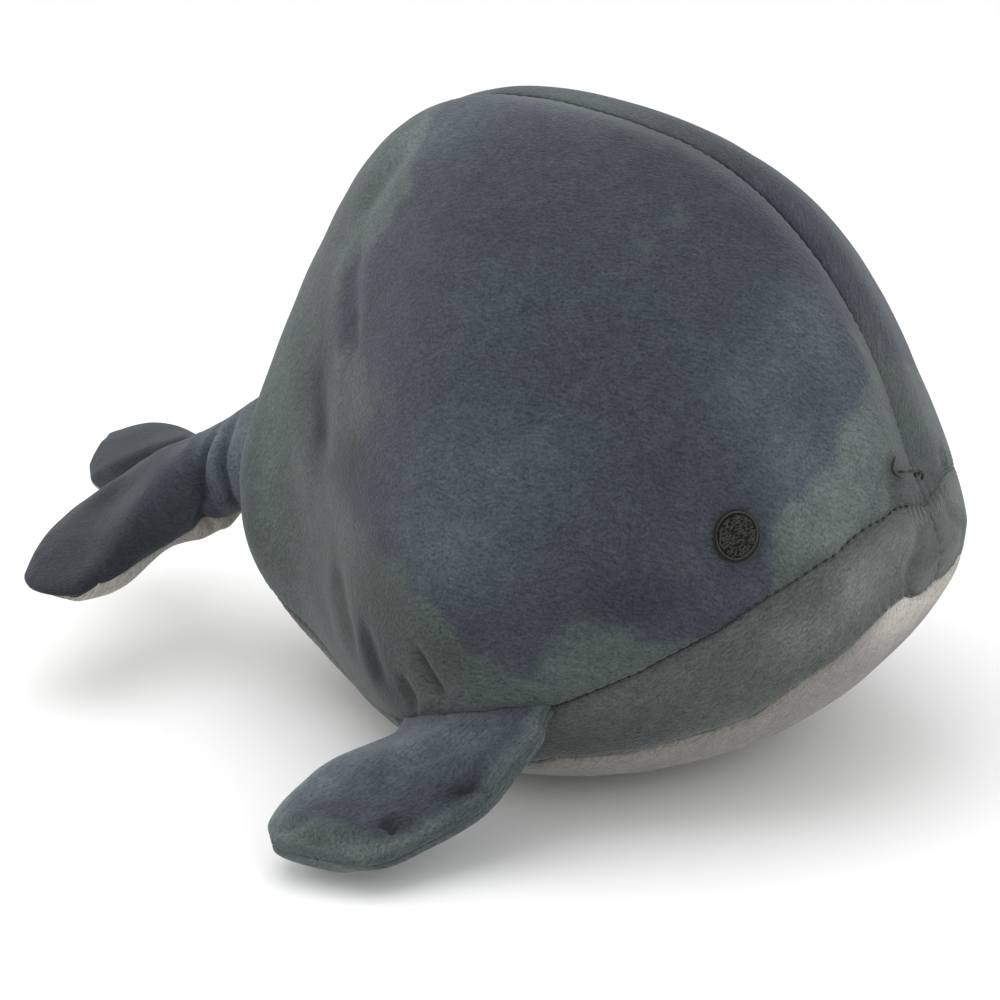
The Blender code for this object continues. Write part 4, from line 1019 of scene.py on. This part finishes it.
for way, what, material, slot_name, inside in (
        (1, "upper", slate, "slate_plush", ["tail_filling"]), (-1, "lower", pale, "pale_plush", [])):
    middle, normal, half, edge, bulge, to_edge, flat, near_fold = tail_cloth(way)
    place = in_place(hemmed(middle, normal, half, edge, bulge, True), STEM_TURN, STEM_ROOT)
    nap = edged(np.clip(0.02 + 0.25 * lumps(flat, 0.03, 75), 0, 1))
    if way < 0:
        nap = nap + 0.4
        # The pale lower piece is lifted as a whole with painted light.
        painted_light_and_mottle = np.full(to_edge.shape, 2.0)
    else:
        # Painted light on the upper piece: lighter next to the body and down its near side, darker over the
        # flukes, with painted shade on the near fluke's flank.
        out = flat[..., 0]
        aside = np.clip(-flat[..., 1] / STEM_HALF_WIDTH, 0, 1)
        painted_light_and_mottle = 1.34 - 0.66 * smooth_step(out, 0.026, 0.050)
        painted_light_and_mottle = painted_light_and_mottle + (0.42 + 0.70 * aside) * (1 - smooth_step(out, 0.018, 0.029))
        painted_light_and_mottle = painted_light_and_mottle * (1 - 0.20 * bell(out, 0.045, 0.016) * bell(flat[..., 1], -0.010, 0.018))
    # Painted shade in the creases round the stem and along the edge seam, then random mottle.
    painted_light_and_mottle = painted_light_and_mottle * (1 - 0.45 * bell(near_fold, 0, 0.0015)) - 0.16 * bell(to_edge, 0, 0.0008)
    painted_light_and_mottle = edged(painted_light_and_mottle * (1 + 0.10 * lumps(flat, 0.012, 76)))
    made = cloth_piece("tail_%s_cloth" % what, place, nap, painted_light_and_mottle, material, thickness=0, flip=way > 0)
    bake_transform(made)
    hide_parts("tail_%s_panel" % what, *inside)
# Flippers
# Each flipper is two leaf-shaped pieces of slate plush sewn round the edge and lightly stuffed.
# Its root is sewn flat to the jaw panel under the bulge of the side, so it hangs out and back.

FLIPPER_LENGTH = 0.049
FLIPPER_HALF_CHORD = 0.0281
FLIPPER_HALF_HEIGHT = 0.0104
FLIPPER_ROOT_HALF = {1: 0.0062, -1: 0.0045}
FLIPPER_SWEEP = 0.0263
FLIPPER_HANG = 0.0054
FLIPPER_TWIST = math.radians(18)
FLIPPER_BOW = 0.003
FLIPPER_RAKE = math.radians(15)
FLIPPER_SLOPE = math.radians(24)
FLIPPER_TOE = math.radians(1)
PIVOT_LIFT = 0.0030
REAR_ROOT_DROP = 0.0026
FRONT_ROOT_DROP = 0.0024
ROOT_SINK = 0.008
ROOT_SHARE = 0.12
FLIPPER_ROWS = 90
FLIPPER_COLUMNS = 81


def flipper_grid(side, way):
    """Middle surface, normal and half height of a flipper in its own frame."""
    t = np.concatenate([
        np.linspace(-ROOT_SHARE, 0, 12)[:-1], np.sin(np.linspace(0, QUARTER_TURN, FLIPPER_ROWS))])
    turn = np.linspace(-QUARTER_TURN, QUARTER_TURN, FLIPPER_COLUMNS)
    t, turn = np.meshgrid(t, turn, indexing="ij")
    inner = np.clip(t, 0, 1)
    reach = np.sin(QUARTER_TURN * inner)
    taper = np.clip(np.cos(QUARTER_TURN * inner), 0, 1)
    width = FLIPPER_HALF_CHORD * taper ** 0.41
    chord = width * np.sin(turn)

    # The front edge is fuller and the rear edge is narrower at the root. Both droop beside it.
    front = 1.05 - 0.03 * bell(reach, 0.24, 0.12) - 0.06 * (1 - smooth_step(reach, 0, 0.08))
    rear = (1 - 0.17 * (1 - smooth_step(reach, 0.0, 0.16))) * (1 - 0.07 * bell(reach, 0.93, 0.035))
    chord = chord * np.where(turn > 0, front, rear)
    pitch = FLIPPER_TWIST * smooth_step(reach, 0, 0.5)
    forward = chord * np.cos(pitch) - FLIPPER_SWEEP * np.sin(QUARTER_TURN * reach) ** 1.4
    forward = forward + 0.0012 * (1 - smooth_step(reach, 0.05, 0.5))
    out = FLIPPER_LENGTH * reach - FLIPPER_BOW * np.sin(turn) ** 2 * (1 - inner) ** 2
    out = out + np.minimum(t, 0) * ROOT_SINK / ROOT_SHARE + 0.0028 * smooth_step(reach, 0.7, 1)
    down = chord * np.sin(pitch) + FLIPPER_HANG * np.sin(math.pi * reach)
    down = down + REAR_ROOT_DROP * smooth_step(-chord, 0.006, 0.022) * (1 - smooth_step(reach, 0.0, 0.40))
    down = down + FRONT_ROOT_DROP * smooth_step(chord, 0.008, 0.024) * (1 - smooth_step(reach, 0.0, 0.35))
    root = FLIPPER_ROOT_HALF[way]
    swell = root + (FLIPPER_HALF_HEIGHT - root) * smooth_step(reach, 0, 0.5)
    edge = EDGE_HALF * np.clip(taper * 10, 0.1, 1)
    half = edge + (swell - edge) * np.clip(np.cos(turn), 0, 1) ** PILLOW_POWER * np.sqrt(taper)
    if way < 0:
        half = edge + (half - edge) * (1 - 0.55 * smooth_step(np.sin(turn), 0.1, 0.9))
    middle = np.stack([forward, side * out, -down], -1)
    normal = np.stack([np.sin(pitch), 0 * pitch, np.cos(pitch)], -1) * way
    to_edge = np.minimum(width * (1 - np.abs(np.sin(turn))), FLIPPER_LENGTH * (1 - reach) + 0.0005)
    return middle, normal, half, edge, to_edge, inner, turn
# Creases of the flipper as (share out, turn across in degrees), then depth, width, lip and fade.
FLIPPER_FOLDS = (
    (((0.60, 52.0), (0.56, 38.0), (0.53, 24.0)), 0.0030, 0.0018, 0.0020, 0.005),
    (((0.88, 34.0), (0.83, 5.0), (0.80, -24.0)), 0.0022, 0.0024, 0.0018, 0.006),
    (((0.32, 64.0), (0.25, 42.0), (0.20, 26.0)), 0.0030, 0.0034, 0.0016, 0.007),
    (((0.05, 34.0), (0.16, 12.0), (0.27, -6.0)), 0.0020, 0.0026, 0.0018, 0.007),
    (((0.70, -20.0), (0.72, -42.0), (0.70, -62.0)), 0.0018, 0.0022, 0.0014, 0.005),
    (((0.45, 8.0), (0.40, -18.0), (0.36, -40.0)), 0.0010, 0.0042, 0.0010, 0.010),
)
# Painted light and shade on the upper flipper pieces, as (share out, turn across in degrees, half share, half
# turn, gain).
FLIPPER_TONES = (
    (0.12, -15, 0.12, 45, 0.80), (0.55, 38, 0.12, 18, -0.34), (0.28, 52, 0.08, 16, -0.70),
    (0.34, 0, 0.12, 22, 0.06), (0.42, -50, 0.32, 22, 0.60), (0.42, -76, 0.32, 18, 0.60),
    (0.80, -10, 0.08, 30, -0.10), (0.38, -28, 0.12, 16, 0.50), (0.20, -72, 0.12, 20, 0.35),
    (0.52, 18, 0.05, 8, 0.22), (0.11, 29, 0.05, 10, 0.30))
# Painted light levels of the two pieces; the lower one, which faces the floor, is lit up more, and its pile is
# set brushed up to look lighter.
UPPER_TONE = 1.16
LOWER_TONE = 1.45
LOWER_NAP = 0.8

for side, word in SIDES:
    aim = Matrix.Rotation(-side * FLIPPER_TOE, 4, "Z") @ Matrix.Rotation(-FLIPPER_RAKE, 4, "Y")
    aim = aim @ Matrix.Rotation(-side * FLIPPER_SLOPE, 4, "X")
    share_at, rise_at = FLIPPER_PLACE[0], math.radians(FLIPPER_PLACE[1])
    root = Vector(body_form(share_at, rise_at, side) + outward(share_at, rise_at, side) * PIVOT_LIFT)
    out = aim @ Vector((0, side, 0))
    for way, what in ((1, "upper"), (-1, "lower")):
        middle, normal, half, edge, to_edge, inner, turn = flipper_grid(side, way)
        uneven = lumps(middle, 0.007, 81 + way) * bell(to_edge, 0, 0.006)
        bulge = 0.0006 * (uneven + lumps(middle, 0.018, 82 + way))
        nap = np.full(turn.shape, LOWER_NAP)
        painted_light_and_mottle = LOWER_TONE
        if way > 0:
            surface_at = middle + normal * half[..., None]
            for path, *shape in FLIPPER_FOLDS:
                spots = []
                for t_at, turn_at in path:
                    gap = np.abs(inner - t_at) * 0.05 + np.abs(np.degrees(turn) - turn_at) * 0.0005
                    spots.append(surface_at.reshape(-1, 3)[gap.argmin()])
                bulge = bulge + fold_push(surface_at, normal, np.array(spots), *shape, side)
            nap = -0.05 + 0.95 * smooth_step(inner, 0.52, 0.80) + 0.8 * bell(to_edge, 0, 0.0045)
            nap = np.clip(nap + 0.25 * lumps(middle, 0.012, 84), 0, 1)
            painted_light_and_mottle = UPPER_TONE
        bulge = bulge * (1 - bell(to_edge, 0, 0.0015))
        place = in_place(hemmed(middle, normal, half, edge, bulge, False), aim, root)
        # Painted shade along the edge seam and a painted lighter band just inside it, then random mottle.
        painted_light_and_mottle = painted_light_and_mottle - 0.25 * bell(to_edge, 0, 0.0006)
        painted_light_and_mottle = painted_light_and_mottle * (1 + 0.16 * bell(to_edge, 0.0026, 0.0018) + 0.12 * lumps(middle, 0.008, 85))
        if way > 0:
            painted_light_and_mottle = painted_light_and_mottle * catch_light(inner, turn, FLIPPER_TONES)
        made = cloth_piece(
            "flipper_%s_%s_cloth" % (word, what), place, edged(nap, False), edged(painted_light_and_mottle, False), slate,
            thickness=0, flip=(way * side) < 0)
        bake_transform(made)
        inside = ["flipper_%s_filling" % word] if way > 0 else []
        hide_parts("flipper_%s_%s" % (word, what), *inside)
# Floor, light and camera
# A plain near-white floor under soft studio light from large panels overhead and to the left.
# The camera stands where the photograph was taken from.

FLOOR_DEPTH = 0.0003
FLOOR_HALF = 12.0
paper, paper_tree = new_material("pale paper")
mottle = socket(paper_tree, "TexNoise", "Fac", Scale=3.0, Detail=2.0)
paper_tint = blended(paper_tree, "MIX", mottle, (0.92, 0.92, 0.92, 1), (0.94, 0.94, 0.94, 1))
surface(paper_tree, Base_Color=paper_tint, Roughness=0.9, Specular_IOR_Level=0.1)
corners = [(x * FLOOR_HALF, y * FLOOR_HALF, -FLOOR_DEPTH) for x, y in ((-1, -1), (1, -1), (1, 1), (-1, 1))]
floor = in_scene("floor", new_mesh("floor", corners, [(0, 1, 2, 3)], paper))

world = bpy.data.worlds.new("studio")
world.use_nodes = True
fill(world.node_tree, world.node_tree.nodes["Background"], {"Color": (1.0, 1.0, 1.0, 1), "Strength": 1.0})
bpy.context.scene.world = world

LAMPS_AIM = Vector((0, 0, 0.08))
for name, place, size, power, tint in (
        ("overhead_panel", (-0.15, -0.25, 1.5), 1.3, 7.5, (1.0, 1.0, 1.0)),
        ("left_panel", (-1.3, -0.9, 0.9), 1.0, 3.6, (1.0, 0.985, 0.96)),
        ("front_panel", (1.2, -1.2, 0.8), 1.0, 4.6, (0.97, 0.99, 1.0))):
    light = bpy.data.lights.new(name, "AREA")
    light.shape = "SQUARE"
    light.size = size
    light.energy = power
    light.color = tint
    lamp = in_scene(name, light)
    lamp.location = place
    lamp.rotation_euler = (LAMPS_AIM - Vector(place)).to_track_quat("-Z", "Y").to_euler()
CAMERA_TURN = math.radians(28)
CAMERA_RISE = math.radians(17)
CAMERA_DISTANCE = 0.9
CAMERA_TARGET = Vector((0, 0, 0.1))
FOCAL_PIXELS = 2727
TARGET_PIXEL = (601, 435)
FRAME_PIXELS = 1000
back = Vector((
    math.sin(CAMERA_TURN) * math.cos(CAMERA_RISE), -math.cos(CAMERA_TURN) * math.cos(CAMERA_RISE),
    math.sin(CAMERA_RISE)))
right = Vector((math.cos(CAMERA_TURN), math.sin(CAMERA_TURN), 0))
above = back.cross(right)
camera_data = bpy.data.cameras.new("camera")
camera_data.sensor_width = 36
camera_data.lens = camera_data.sensor_width * FOCAL_PIXELS / FRAME_PIXELS
camera_data.clip_start = 0.01
camera_data.clip_end = 100
camera = in_scene("camera", camera_data)
camera.location = CAMERA_TARGET + back * CAMERA_DISTANCE
middle_pixel = FRAME_PIXELS / 2
look = -back + right * (middle_pixel - TARGET_PIXEL[0]) / FOCAL_PIXELS
look = look - above * (middle_pixel - TARGET_PIXEL[1]) / FOCAL_PIXELS
camera.rotation_euler = look.to_track_quat("-Z", "Y").to_euler()
bpy.context.scene.camera = camera
bpy.context.scene.view_settings.view_transform = "Standard"
